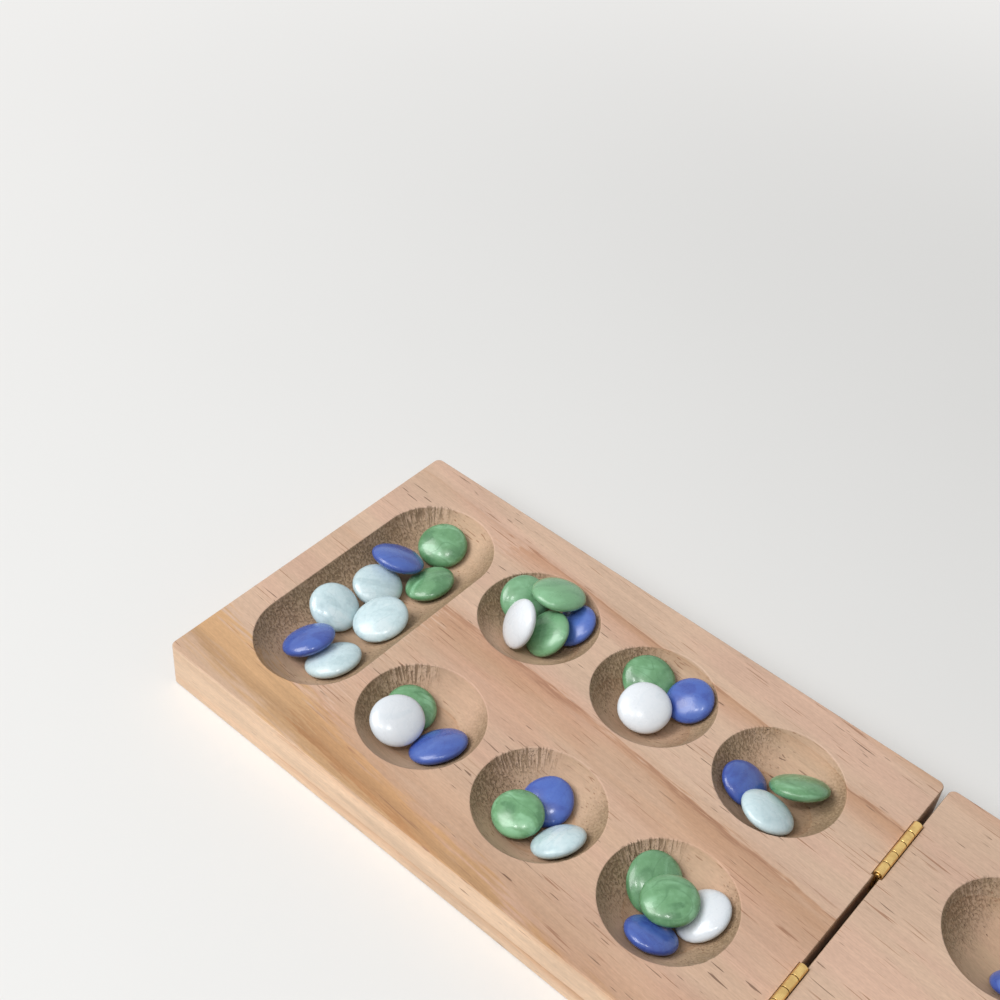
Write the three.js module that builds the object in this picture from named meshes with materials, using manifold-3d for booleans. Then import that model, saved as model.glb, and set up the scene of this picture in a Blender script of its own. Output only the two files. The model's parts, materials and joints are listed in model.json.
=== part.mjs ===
// Folding mancala board: two hollowed wooden halves on two brass butt hinges, with 48 glass stones.
// It lies open and flat, playing side up. Millimetres, +Z up, +X towards the right store, and the
// origin in the middle of the underside.

import * as THREE from 'three';
import { mergeVertices } from 'three/addons/utils/BufferGeometryUtils.js';
import Module from 'manifold-3d';

const wasm = await Module();
wasm.setup();

// Board
const boardLength = 443;
const boardWidth = 133;
const boardThickness = 18;
const cornerRadius = 2.4;
const seamGap = 2;
const closingGap = 0.3;

// Stores, one long trough across each outer end, and the wood that is left outside their rims
const storeRimRadius = 21.4;
const storeDepth = 12;
const storeStraightLength = 59.2;
const endWall = 10.6;
const storeWall = 5.5;

// Pits, three to a row. They share the length that the walls and the store leave them.
const pitsPerRow = 3;
const pitDepth = 12;
const pitWall = 6.55;
const seamWall = 18.9;
const pitRowSpacing = 60;

// Brass butt hinges, screwed to the end faces in the seam
const hingeToEdge = 33;
const leafLength = 25;
const leafDrop = 11.5;
const leafThickness = 0.85;
const leafScrewPitch = 15;
const leafScrewDrop = 7.2;
const leafScrewHoleRadius = 1.1;
const barrelRadius = 1.6;
const knuckleCount = 5;
const knuckleGap = 0.3;
const pinRadius = 0.8;
const pinClearance = 0.15;
const pinOverhang = 0.5;
const pinChamfer = 0.25;
const barrelClearance = 0.3;

// Glass stones: length, width and thickness of each form
const stoneForms = {
  large: [22, 19, 6.35],
  oval: [20.4, 18.4, 6.8],
  round: [19, 18, 6.8],
  small: [17.8, 17, 6.6],
};
const stoneGap = 0.3;

// Fineness of the round faces
const bowlSegments = 32;
const bowlRings = 6;
const cornerSegments = 5;
const barrelSegments = 18;
const stoneSegments = 12;
const stoneRings = 7;

// One overrun for every cut that has to pass through a face
const cutOverrun = 1;

// How far a stone may slide and roll as it comes to rest in its pile
const slideLimitShare = 0.06;
const slideStepShare = 0.03;
const leanLimit = 12;
const leanStep = 8;
const finestLeanStep = 0.5;
const leastGainShare = 1e-4;
const shutWeight = 5;

// How finely the direction that parts two stones is looked for
const partingSteps = 20;
const finestPartingScale = 1e-3;
const partingToleranceShare = 1e-6;

const axisHeight = boardThickness + closingGap / 2;
const halfLength = (boardLength - seamGap) / 2;
const endToStore = endWall + storeRimRadius;
const pitRowLength = halfLength - endToStore - storeRimRadius - storeWall - seamWall;
const pitRimRadius = (pitRowLength - (pitsPerRow - 1) * pitWall) / (2 * pitsPerRow);
const pitPitch = 2 * pitRimRadius + pitWall;
const seamToPit = seamWall + pitRimRadius;
const degree = Math.PI / 180;
const left = -1;
const right = 1;

const finishes = {
  pine: new THREE.MeshStandardMaterial({ color: 0xd9b294, roughness: 0.62, metalness: 0 }),
  brass: new THREE.MeshStandardMaterial({ color: 0xc79a4b, roughness: 0.34, metalness: 1 }),
  green: new THREE.MeshStandardMaterial({ color: 0x76b384, roughness: 0.12, metalness: 0 }),
  blue: new THREE.MeshStandardMaterial({ color: 0x4a5db4, roughness: 0.12, metalness: 0 }),
  pale: new THREE.MeshStandardMaterial({ color: 0xcfe0e1, roughness: 0.12, metalness: 0 }),
  white: new THREE.MeshStandardMaterial({ color: 0xeef1f5, roughness: 0.12, metalness: 0 }),
};

// Solids

/** The volume that triangles enclose, negative where they face inwards. */
function signedVolume(points, triangles) {
  const corner = (index) => new THREE.Vector3().fromArray(points, 3 * index);
  let volume = 0;
  for (let start = 0; start < triangles.length; start += 3) {
    const [a, b, c] = [0, 1, 2].map((step) => corner(triangles[start + step]));
    volume += a.dot(b.cross(c)) / 6;
  }
  return volume;
}

/** A closed three.js geometry as a solid that can be joined and cut. */
function toSolid(geometry) {
  geometry.deleteAttribute('normal');
  geometry.deleteAttribute('uv');
  const merged = mergeVertices(geometry);
  const points = Float32Array.from(merged.attributes.position.array);
  const triangles = [];
  for (let start = 0; start < merged.index.count; start += 3) {
    const corners = [0, 1, 2].map((step) => merged.index.getX(start + step));
    if (new Set(corners).size === 3) triangles.push(...corners);
  }
  if (signedVolume(points, triangles) < 0) triangles.reverse();
  const mesh = new wasm.Mesh({ numProp: 3, vertProperties: points, triVerts: Uint32Array.from(triangles) });
  return new wasm.Manifold(mesh);
}

/** A solid's faces as a three.js geometry. */
function toGeometry(solid) {
  const mesh = solid.getMesh();
  const geometry = new THREE.BufferGeometry();
  geometry.setAttribute('position', new THREE.BufferAttribute(mesh.vertProperties, 3));
  geometry.setIndex(new THREE.BufferAttribute(mesh.triVerts, 1));
  geometry.computeVertexNormals();
  return geometry;
}

function namedMesh(name, geometry, finish) {
  const mesh = new THREE.Mesh(geometry, finishes[finish]);
  mesh.name = name;
  return mesh;
}

/** A box between two corners. */
function block(low, high) {
  const size = high.map((value, axis) => value - low[axis]);
  const centre = high.map((value, axis) => (value + low[axis]) / 2);
  return toSolid(new THREE.BoxGeometry(...size).translate(...centre));
}

/** A cylinder along Y whose axis passes through x, z. */
function rodAlongY(radius, length, x, y, z) {
  return toSolid(new THREE.CylinderGeometry(radius, radius, length, barrelSegments).translate(x, y, z));
}

/** A cylinder along X whose axis passes through y, z. */
function rodAlongX(radius, length, x, y, z) {
  const rod = new THREE.CylinderGeometry(radius, radius, length, barrelSegments);
  return toSolid(rod.rotateZ(Math.PI / 2).translate(x, y, z));
}

// Hollows: where each pit and store is, and the shape of its floor

/** Every hollow of one half, its store first and then its pits, counted from the store. */
function hollowsOf(side) {
  const sideName = side === left ? 'left' : 'right';
  const hollows = [{
    name: `${sideName}_store`,
    x: side * (boardLength / 2 - endToStore),
    y: 0,
    rimRadius: storeRimRadius,
    depth: storeDepth,
    halfStraight: storeStraightLength / 2,
  }];
  for (const [row, rowSide] of [['far', 1], ['near', -1]]) {
    for (let place = 1; place <= pitsPerRow; place += 1) {
      hollows.push({
        name: `${sideName}_${row}_${place}`,
        x: side * (seamGap / 2 + seamToPit + (pitsPerRow - place) * pitPitch),
        y: rowSide * pitRowSpacing / 2,
        rimRadius: pitRimRadius,
        depth: pitDepth,
        halfStraight: 0,
      });
    }
  }
  return hollows;
}

/** The radius of the ball whose cap is the hollow's bowl. */
function ballRadius(hollow) {
  return (hollow.rimRadius ** 2 + hollow.depth ** 2) / (2 * hollow.depth);
}

/** The height of the wood under a point: the hollow's bowl inside its rim, the flat top outside it. */
function woodHeight(hollow, x, y) {
  const pastStraight = Math.max(Math.abs(y - hollow.y) - hollow.halfStraight, 0);
  const fromAxis = Math.hypot(x - hollow.x, pastStraight);
  if (fromAxis >= hollow.rimRadius) return boardThickness;
  const radius = ballRadius(hollow);
  return boardThickness - hollow.depth + radius - Math.sqrt(radius ** 2 - fromAxis ** 2);
}

/** The bowl's half section, from the bottom of the bowl out to its rim and up past the top face. */
function bowlSection(hollow) {
  const radius = ballRadius(hollow);
  const rimAngle = Math.asin(hollow.rimRadius / radius);
  const section = [];
  for (let ring = 0; ring <= bowlRings; ring += 1) {
    const angle = rimAngle * ring / bowlRings;
    const height = boardThickness - hollow.depth + radius * (1 - Math.cos(angle));
    section.push(new THREE.Vector2(radius * Math.sin(angle), height));
  }
  section.push(new THREE.Vector2(hollow.rimRadius, boardThickness + cutOverrun));
  return section;
}

/** The solid that leaves a hollow when it is cut away. */
function hollowCutter(hollow) {
  const section = bowlSection(hollow);
  const top = section.at(-1).y;
  const bowl = (y) => {
    const turned = new THREE.LatheGeometry([...section, new THREE.Vector2(0, top)], bowlSegments);
    return toSolid(turned.rotateX(Math.PI / 2).translate(hollow.x, y, 0));
  };
  if (hollow.halfStraight === 0) return bowl(hollow.y);

  const mirrored = section.slice(1).reverse().map((point) => new THREE.Vector2(-point.x, point.y));
  const outline = new THREE.Shape([...mirrored, ...section]);
  const depth = 2 * hollow.halfStraight;
  const trough = new THREE.ExtrudeGeometry(outline, { depth, bevelEnabled: false });
  trough.rotateX(Math.PI / 2).translate(hollow.x, hollow.y + hollow.halfStraight, 0);
  return toSolid(trough)
    .add(bowl(hollow.y + hollow.halfStraight))
    .add(bowl(hollow.y - hollow.halfStraight));
}

// Board halves

/** The plank of one half before it is hollowed, with its four upright corners rounded. */
function plank(side) {
  const [x0, x1] = [seamGap / 2, boardLength / 2].map((x) => side * x).sort((a, b) => a - b);
  const [y0, y1] = [-boardWidth / 2, boardWidth / 2];
  const quarter = Math.PI / 2;
  const outline = new THREE.Shape();
  outline.absarc(x1 - cornerRadius, y0 + cornerRadius, cornerRadius, -quarter, 0);
  outline.absarc(x1 - cornerRadius, y1 - cornerRadius, cornerRadius, 0, quarter);
  outline.absarc(x0 + cornerRadius, y1 - cornerRadius, cornerRadius, quarter, 2 * quarter);
  outline.absarc(x0 + cornerRadius, y0 + cornerRadius, cornerRadius, 2 * quarter, 3 * quarter);
  outline.closePath();
  const extrude = { depth: boardThickness, bevelEnabled: false, curveSegments: cornerSegments };
  return toSolid(new THREE.ExtrudeGeometry(outline, extrude));
}

/** The rounded notch in the top edge that the barrel of one hinge turns in. */
function barrelNotch(hingeY) {
  const length = leafLength + 2 * (pinOverhang + barrelClearance);
  return rodAlongY(barrelRadius + barrelClearance, length, 0, hingeY, axisHeight);
}

function boardHalf(side) {
  let solid = plank(side);
  for (const hollow of hollowsOf(side)) solid = solid.subtract(hollowCutter(hollow));
  for (const { y } of hinges) solid = solid.subtract(barrelNotch(y));
  return namedMesh(side === left ? 'left_half' : 'right_half', toGeometry(solid), 'pine');
}

// Hinges

const hinges = [
  { name: 'near_hinge', y: -boardWidth / 2 + hingeToEdge },
  { name: 'far_hinge', y: boardWidth / 2 - hingeToEdge },
];

/** One leaf with its knuckles: the even places belong to the left leaf, the odd ones to the right. */
function hingeLeaf(hinge, side) {
  const faceX = side * seamGap / 2;
  const [x0, x1] = [faceX, faceX - side * leafThickness].sort((a, b) => a - b);
  const leafTop = axisHeight - barrelRadius - barrelClearance;
  const y0 = hinge.y - leafLength / 2;
  let solid = block([x0, y0, axisHeight - leafDrop], [x1, y0 + leafLength, leafTop]);

  const knuckleLength = (leafLength - (knuckleCount - 1) * knuckleGap) / knuckleCount;
  for (let place = side === left ? 0 : 1; place < knuckleCount; place += 2) {
    const start = y0 + place * (knuckleLength + knuckleGap);
    const middle = start + knuckleLength / 2;
    solid = solid
      .add(rodAlongY(barrelRadius, knuckleLength, 0, middle, axisHeight))
      .add(block([x0, start, leafTop - leafThickness], [x1, start + knuckleLength, axisHeight]));
  }
  const boreLength = leafLength + 2 * cutOverrun;
  solid = solid.subtract(rodAlongY(pinRadius + pinClearance, boreLength, 0, hinge.y, axisHeight));

  const screwDepth = leafThickness + 2 * cutOverrun;
  for (const screwSide of [-1, 1]) {
    const y = hinge.y + screwSide * leafScrewPitch / 2;
    const hole = rodAlongX(leafScrewHoleRadius, screwDepth, (x0 + x1) / 2, y, axisHeight - leafScrewDrop);
    solid = solid.subtract(hole);
  }
  const sideName = side === left ? 'left' : 'right';
  return namedMesh(`${hinge.name}_${sideName}_leaf`, toGeometry(solid), 'brass');
}

/** The pin, a little longer than the barrel and chamfered at both ends. */
function hingePin(hinge) {
  const end = leafLength / 2 + pinOverhang;
  const section = [
    [0, -end],
    [pinRadius - pinChamfer, -end],
    [pinRadius, pinChamfer - end],
    [pinRadius, end - pinChamfer],
    [pinRadius - pinChamfer, end],
    [0, end],
  ].map(([x, y]) => new THREE.Vector2(x, y));
  const turned = toSolid(new THREE.LatheGeometry(section, barrelSegments).translate(0, hinge.y, axisHeight));
  return namedMesh(`${hinge.name}_pin`, toGeometry(turned), 'brass');
}

// Stones: each pile is listed from the bottom up. A stone's place is a share of the hollow's rim
// radius along the board, and of its half length across it. Lean is how far the stone's flat side
// tips and the direction that it tips to, and turn is where its long side points, all in degrees.

/** One stone of a pile, as it is first set down. */
function stone(form, glass, alongShare, acrossShare, lean, leanTo, turn) {
  return { form, glass, alongShare, acrossShare, lean, leanTo, turn };
}

const pileShares = {
  left_store: [
    stone('round', 'pale', -0.48, -0.24, 21, -44, 10),
    stone('round', 'pale', -0.36, 0.13, 14, 0, 40),
    stone('round', 'green', 0.34, 0.39, 18, -176, 80),
    stone('oval', 'pale', 0.4, -0.57, 17, -170, 60),
    stone('round', 'green', -0.16, 0.76, 32, -82, 20),
    stone('oval', 'pale', 0.3, -0.13, 26, -92, 75),
    stone('round', 'blue', -0.12, -0.58, 18, -159, 50),
    stone('oval', 'blue', -0.38, 0.34, 16, 125, 20),
  ],
  left_far_1: [
    stone('small', 'blue', 0.48, 0.42, 38, -132, 20),
    stone('round', 'green', 0.26, 0.02, 46, -112, 20),
    stone('round', 'green', -0.58, 0.28, 32, -15, 70),
    stone('round', 'white', -0.2, -0.34, 64, -134, 40),
    stone('oval', 'green', 0.04, 0.54, 15, 45, 60),
  ],
  left_far_2: [
    stone('round', 'green', -0.38, 0.42, 20, -47, 20),
    stone('small', 'blue', 0.38, 0.46, 38, -125, 20),
    stone('round', 'white', -0.02, -0.12, 22, -22, 70),
  ],
  left_far_3: [
    stone('small', 'blue', -0.47, -0.22, 18, 10, 70),
    stone('round', 'pale', 0.12, -0.56, 20, 100, 10),
    stone('oval', 'green', 0.3, 0.14, 34, 147, 40),
  ],
  left_near_1: [
    stone('small', 'green', -0.42, 0.18, 20, -22, 30),
    stone('oval', 'blue', 0.5, -0.08, 24, 179, 60),
    stone('round', 'white', -0.27, -0.2, 26, 1, 70),
  ],
  left_near_2: [
    stone('small', 'blue', -0.06, 0.38, 12, -70, 60),
    stone('round', 'pale', 0.52, -0.12, 24, 170, 100),
    stone('small', 'green', -0.14, -0.18, 17, -66, 0),
  ],
  left_near_3: [
    stone('oval', 'green', -0.44, 0.28, 20, -35, 120),
    stone('round', 'white', 0.42, 0.34, 22, -140, 60),
    stone('small', 'blue', 0.05, -0.48, 20, 95, 0),
    stone('round', 'green', 0, 0.05, 8, 20, 45),
  ],
  right_store: [
    stone('round', 'green', -0.4, -0.62, 20, 20, 30),
    stone('oval', 'pale', 0.42, -0.52, 20, 170, 80),
    stone('small', 'blue', -0.38, -0.25, 18, 10, 10),
    stone('round', 'white', 0.44, -0.12, 20, 175, 60),
    stone('round', 'green', -0.42, 0.14, 18, -10, 100),
    stone('oval', 'blue', 0.4, 0.28, 18, 185, 70),
    stone('small', 'pale', -0.4, 0.52, 18, -20, 0),
    stone('round', 'green', 0.2, 0.72, 26, -110, 45),
  ],
  right_far_1: [],
  right_far_2: [
    stone('oval', 'green', 0.42, 0.2, 22, -160, 50),
    stone('round', 'white', -0.44, -0.3, 24, 35, 15),
  ],
  right_far_3: [
    stone('round', 'green', 0.36, 0.42, 24, -130, 60),
    stone('small', 'blue', 0.4, -0.4, 24, 135, 90),
  ],
  right_near_1: [
    stone('large', 'white', -0.42, -0.38, 22, 40, 40),
    stone('round', 'green', 0.06, 0.5, 24, -95, 75),
  ],
  right_near_2: [
    stone('round', 'pale', 0.46, 0.3, 24, -150, 100),
    stone('small', 'blue', -0.4, -0.38, 24, 40, 20),
  ],
  right_near_3: [
    stone('round', 'blue', 0.38, -0.42, 24, 130, 10),
    stone('oval', 'pale', -0.46, -0.2, 24, 25, 130),
    stone('small', 'green', -0.1, 0.58, 26, -80, 60),
  ],
};

const unitSphere = new THREE.SphereGeometry(1, stoneSegments, stoneRings).rotateX(Math.PI / 2);
const sphereDirections = [];
for (let index = 0; index < unitSphere.attributes.position.count; index += 1) {
  sphereDirections.push(new THREE.Vector3().fromBufferAttribute(unitSphere.attributes.position, index));
}

/** How a stone is turned: its long side set first, then its flat side tipped by the lean vector. */
function attitude(leanX, leanY, turn) {
  const turned = new THREE.Quaternion().setFromAxisAngle(new THREE.Vector3(0, 0, 1), turn);
  const lean = Math.hypot(leanX, leanY);
  if (lean === 0) return turned;
  const tipAxis = new THREE.Vector3(-leanY / lean, leanX / lean, 0);
  return new THREE.Quaternion().setFromAxisAngle(tipAxis, lean).multiply(turned);
}

/** The matrix S of a turned ellipsoid, whose reach in a direction n is the square root of n S n. */
function reachMatrix(semiAxes, quaternion) {
  const turn = new THREE.Matrix4().makeRotationFromQuaternion(quaternion);
  const columns = [0, 1, 2].map((axis) => new THREE.Vector3().setFromMatrixColumn(turn, axis));
  return [0, 1, 2].map((row) => [0, 1, 2].map((column) => columns.reduce(
    (sum, direction, axis) => sum
      + semiAxes[axis] ** 2 * direction.getComponent(row) * direction.getComponent(column),
    0,
  )));
}

/** The reach of an ellipsoid in the direction (u, v, 1), with its slope and curvature in u and v. */
function reach(matrix, u, v) {
  const along = matrix.map((row) => row[0] * u + row[1] * v + row[2]);
  const value = Math.sqrt(along[0] * u + along[1] * v + along[2]);
  const slope = [along[0] / value, along[1] / value];
  const curve = (i, j) => (matrix[i][j] - slope[i] * slope[j]) / value;
  return { value, slope, curvature: [curve(0, 0), curve(0, 1), curve(1, 1)] };
}

const gapReach = [0, 1, 2].map((row) => [0, 1, 2].map((column) => (row === column ? stoneGap ** 2 : 0)));

/**
 * The least height of an upper stone's centre above a lower one's at which they clear each other.
 * A direction (u, v, 1) parts them once the rise is the sum of their reaches less what their offset
 * already gives. That sum is convex in u and v, so Newton's steps find the direction that needs least.
 */
function clearingRise(upperMatrix, lowerMatrix, offsetX, offsetY) {
  const evaluate = (u, v) => {
    const parts = [upperMatrix, lowerMatrix, gapReach].map((matrix) => reach(matrix, u, v));
    const total = (pick) => parts.reduce((sum, part) => sum + pick(part), 0);
    return {
      rise: total((part) => part.value) - u * offsetX - v * offsetY,
      slope: [0, 1].map((axis) => total((part) => part.slope[axis]) - [offsetX, offsetY][axis]),
      curvature: [0, 1, 2].map((term) => total((part) => part.curvature[term])),
    };
  };
  let [u, v] = [0, 0];
  let now = evaluate(u, v);
  for (let step = 0; step < partingSteps; step += 1) {
    const [uu, uv, vv] = now.curvature;
    const determinant = uu * vv - uv * uv;
    const du = (uv * now.slope[1] - vv * now.slope[0]) / determinant;
    const dv = (uv * now.slope[0] - uu * now.slope[1]) / determinant;
    let scale = 1;
    let next = evaluate(u + du, v + dv);
    while (next.rise > now.rise && scale > finestPartingScale) {
      scale /= 2;
      next = evaluate(u + scale * du, v + scale * dv);
    }
    if (next.rise < -boardThickness) return -Infinity;
    if (now.rise - next.rise < partingToleranceShare * boardThickness) break;
    [u, v, now] = [u + scale * du, v + scale * dv, next];
  }
  return now.rise;
}

/** A settled stone as it lies once the other half is folded over onto this one. */
function foldedOver(stoneAtRest) {
  const flip = [-1, 1, -1];
  const matrix = stoneAtRest.matrix.map((row, i) => row.map((value, j) => flip[i] * flip[j] * value));
  return { x: -stoneAtRest.x, y: stoneAtRest.y, height: 2 * axisHeight - stoneAtRest.height, matrix };
}

/**
 * A stone held in one attitude and lowered until it meets the wood or the stones below it, with how
 * far it would then reach into the wood and the stones that close over it when the board is shut.
 */
function restAt(pose, semiAxes, hollow, below, above) {
  const quaternion = attitude(pose.leanX, pose.leanY, pose.turn);
  const matrix = reachMatrix(semiAxes, quaternion);
  const points = sphereDirections.map((direction) => direction.clone()
    .multiply(new THREE.Vector3(...semiAxes.map((half) => half + stoneGap)))
    .applyQuaternion(quaternion)
    .add(new THREE.Vector3(pose.x, pose.y, 0)));
  const floors = points.map((point) => woodHeight(hollow, point.x, point.y));

  const rests = points.map((point, index) => floors[index] - point.z);
  for (const other of below) {
    rests.push(other.height + clearingRise(matrix, other.matrix, pose.x - other.x, pose.y - other.y));
  }
  const height = Math.max(...rests);

  const overlaps = points.map((point, index) => height + point.z - (2 * axisHeight - floors[index]));
  for (const other of above) {
    const rise = clearingRise(other.matrix, matrix, other.x - pose.x, other.y - pose.y);
    overlaps.push(height + rise - other.height);
  }
  const shutOverlap = Math.max(0, ...overlaps);
  return { ...pose, quaternion, matrix, height, cost: height + shutWeight * shutOverlap };
}

// Every way to nudge a stone: a step back, none or a step on, in x, y and the two parts of its lean
const nudges = [];
for (let index = 0; index < 3 ** 4; index += 1) {
  nudges.push([3, 2, 1, 0].map((place) => Math.floor(index / 3 ** place) % 3 - 1));
}

/** Lets a stone slide and roll by small steps to the lowest rest near where it was set down. */
function settle(start, semiAxes, hollow, below, above) {
  const slideLimit = slideLimitShare * hollow.rimRadius;
  const within = (pose) => Math.hypot(pose.x - start.x, pose.y - start.y) <= slideLimit
    && Math.hypot(pose.leanX - start.leanX, pose.leanY - start.leanY) <= leanLimit * degree;
  let best = restAt(start, semiAxes, hollow, below, above);
  for (let fineness = 1; leanStep / fineness >= finestLeanStep;) {
    const slide = slideStepShare * hollow.rimRadius / fineness;
    const roll = leanStep * degree / fineness;
    let lowest = best;
    for (const [alongSteps, acrossSteps, leanXSteps, leanYSteps] of nudges) {
      const pose = {
        x: best.x + alongSteps * slide,
        y: best.y + acrossSteps * slide,
        leanX: best.leanX + leanXSteps * roll,
        leanY: best.leanY + leanYSteps * roll,
        turn: best.turn,
      };
      if (!within(pose)) continue;
      const rested = restAt(pose, semiAxes, hollow, below, above);
      if (rested.cost < lowest.cost - leastGainShare * hollow.depth) lowest = rested;
    }
    if (lowest === best) fineness *= 2;
    best = lowest;
  }
  return best;
}

/** The stones of one pile, settled one after the other on the wood and on those before them. */
function stonePile(hollow, above) {
  const settled = [];
  for (const item of pileShares[hollow.name]) {
    const semiAxes = stoneForms[item.form].map((size) => size / 2);
    const start = {
      x: hollow.x + item.alongShare * hollow.rimRadius,
      y: hollow.y + item.acrossShare * (hollow.rimRadius + hollow.halfStraight),
      leanX: item.lean * degree * Math.cos(item.leanTo * degree),
      leanY: item.lean * degree * Math.sin(item.leanTo * degree),
      turn: item.turn * degree,
    };
    const rested = settle(start, semiAxes, hollow, settled, above);
    const name = `stone_${hollow.name}_${settled.length + 1}`;
    settled.push({ ...rested, semiAxes, name, glass: item.glass });
  }
  return settled;
}

function stoneMesh(settled) {
  const mesh = namedMesh(settled.name, unitSphere.clone().scale(...settled.semiAxes), settled.glass);
  mesh.position.set(settled.x, settled.y, settled.height);
  mesh.quaternion.copy(settled.quaternion);
  return mesh;
}

// Assembly

const model = new THREE.Group();
const leftStones = hollowsOf(left).flatMap((hollow) => stonePile(hollow, []));
const leftStonesAbove = leftStones.map(foldedOver);
const rightStones = hollowsOf(right).flatMap((hollow) => {
  const above = leftStonesAbove.filter((other) => Math.hypot(other.x - hollow.x, other.y - hollow.y)
    < 2 * (hollow.rimRadius + hollow.halfStraight));
  return stonePile(hollow, above);
});
for (const [side, stones] of [[left, leftStones], [right, rightStones]]) {
  const half = new THREE.Group();
  half.add(boardHalf(side));
  for (const hinge of hinges) half.add(hingeLeaf(hinge, side));
  half.add(...stones.map(stoneMesh));
  model.add(half);
}
for (const hinge of hinges) model.add(hingePin(hinge));

export default model;
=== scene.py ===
"""Folding wooden pit-and-stone board: its finished surfaces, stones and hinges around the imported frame."""

import functools
import json
import logging
import math
import random
from collections.abc import Iterable, Sequence
from dataclasses import dataclass, field
from enum import Enum

import bmesh
import bpy
import numpy as np
from bmesh.types import BMEdge, BMesh, BMVert
from bpy.types import Camera, Light, Material, Mesh, NodeSocket, NodeTree, Object, ShaderNode
from mathutils import Matrix, Vector, noise


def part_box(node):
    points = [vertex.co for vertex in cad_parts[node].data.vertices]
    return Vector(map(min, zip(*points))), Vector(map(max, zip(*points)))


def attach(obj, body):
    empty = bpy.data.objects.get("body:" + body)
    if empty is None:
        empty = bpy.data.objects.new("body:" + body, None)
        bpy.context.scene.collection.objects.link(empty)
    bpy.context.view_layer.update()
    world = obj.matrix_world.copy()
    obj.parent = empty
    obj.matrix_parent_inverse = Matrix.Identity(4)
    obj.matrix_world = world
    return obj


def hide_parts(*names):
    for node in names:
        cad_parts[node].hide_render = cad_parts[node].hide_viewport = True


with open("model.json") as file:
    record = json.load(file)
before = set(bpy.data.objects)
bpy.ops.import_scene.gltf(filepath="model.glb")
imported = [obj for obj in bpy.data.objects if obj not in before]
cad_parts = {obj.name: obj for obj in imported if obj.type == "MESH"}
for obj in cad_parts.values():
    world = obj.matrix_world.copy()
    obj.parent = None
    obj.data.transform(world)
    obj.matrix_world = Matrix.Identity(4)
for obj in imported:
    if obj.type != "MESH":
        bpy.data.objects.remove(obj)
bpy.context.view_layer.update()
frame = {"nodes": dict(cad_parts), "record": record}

MM = 0.001
"""One millimetre in scene units."""

log = logging.getLogger("board")

Colour = tuple[float, float, float]
Value = float | NodeSocket

Change = tuple[float, float] | tuple[float, float, float, float]
"""Where a value starts and stops to change, then what it becomes there if that isn't 0 and 1."""

Outline = Sequence[tuple[float, float]]
"""Radius and height of each point of a turned form."""


class Side(Enum):
    """The two halves of the board, by the sign of X that they lie on."""

    LEFT = -1
    RIGHT = 1

    @property
    def word(self) -> str:
        """The side's name as it stands in node and body names."""
        return self.name.lower()

    @property
    def body(self) -> str:
        """The rigid body that moves with this side."""
        return f"{self.word}_board"


class Nodes:
    """A node tree under construction, with short ways to add its nodes and join them."""

    def __init__(self, tree: NodeTree) -> None:
        """Start with an empty tree."""
        self.tree = tree
        self.tree.nodes.clear()

    def node(self, kind: str, **settings: object) -> ShaderNode:
        """Add a node and set its properties.

        Args:
            kind: The node's type.
            settings: Properties of the node by name.

        Returns:
            The new node.
        """
        made = self.tree.nodes.new(kind)
        for key, value in settings.items():
            setattr(made, key, value)
        return made

    def join(self, socket: NodeSocket, value: Value | Sequence[float]) -> None:
        """Link an output to an input, or set the input's own value.

        Args:
            socket: The input.
            value: An output socket, a number or a colour.
        """
        if isinstance(value, NodeSocket):
            self.tree.links.new(value, socket)
            return
        if socket.type == "RGBA" and len(value) == 3:
            value = (*value, 1.0)
        socket.default_value = value

    def sum(self, operation: str, first: Value, second: Value = 0.0, third: Value = 0.0) -> NodeSocket:
        """A Math node.

        Args:
            operation: The node's operation.
            first: First value.
            second: Second value.
            third: Third value, where the operation has one.

        Returns:
            The result.
        """
        made = self.node("ShaderNodeMath", operation=operation)
        for socket, value in zip(made.inputs, (first, second, third)):
            self.join(socket, value)
        return made.outputs["Value"]

    def ranged(self, value: Value, change: Change) -> NodeSocket:
        """A value changed smoothly and held at the ends of the change.

        Args:
            value: The value.
            change: The change.

        Returns:
            The result.
        """
        made = self.node("ShaderNodeMapRange", interpolation_type="SMOOTHSTEP")
        self.join(made.inputs["Value"], value)
        for name, bound in zip(("From Min", "From Max", "To Min", "To Max"), change):
            made.inputs[name].default_value = bound
        return made.outputs["Result"]

    def times(self, *values: Value) -> NodeSocket:
        """The product of some values."""
        return functools.reduce(lambda left, right: self.sum("MULTIPLY", left, right), values)

    def plus(self, *values: Value) -> NodeSocket:
        """The sum of some values."""
        return functools.reduce(lambda left, right: self.sum("ADD", left, right), values)

    def added(self, first: Value, share: Value, second: Value) -> NodeSocket:
        """A value with a share of another added."""
        return self.sum("MULTIPLY_ADD", second, share, first)

    def less(self, mask: NodeSocket, least: float, full: float = 1.0) -> NodeSocket:
        """1 where a mask is 0, and down to the least value where the mask is full."""
        return self.ranged(mask, (0.0, full, 1.0, least))

    def close(self, surface: NodeSocket, output: str = "ShaderNodeOutputMaterial") -> None:
        """Join a surface to the tree's output."""
        self.join(self.node(output).inputs["Surface"], surface)

    def seen(self) -> NodeSocket:
        """Whether a ray shows what it meets, straight to the camera or by way of a surface.

        Returns:
            1 on such a ray, else 0.
        """
        path = self.node("ShaderNodeLightPath")
        seen = self.sum("MAXIMUM", path.outputs["Is Camera Ray"], path.outputs["Is Glossy Ray"])
        return self.sum("MAXIMUM", seen, path.outputs["Is Transmission Ray"])


@dataclass(frozen=True)
class Pattern:
    """Noise whose features have the given spans along each axis, in millimetres.

    It either gives a value for each of its own, or swings about zero with the given reach.
    """

    spans: tuple[float, float, float]
    seed: float = 0.0
    detail: float = 2.0
    swirl: float = 0.0
    gives: Change = (0.0, 1.0)
    reach: float = 1.0


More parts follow.
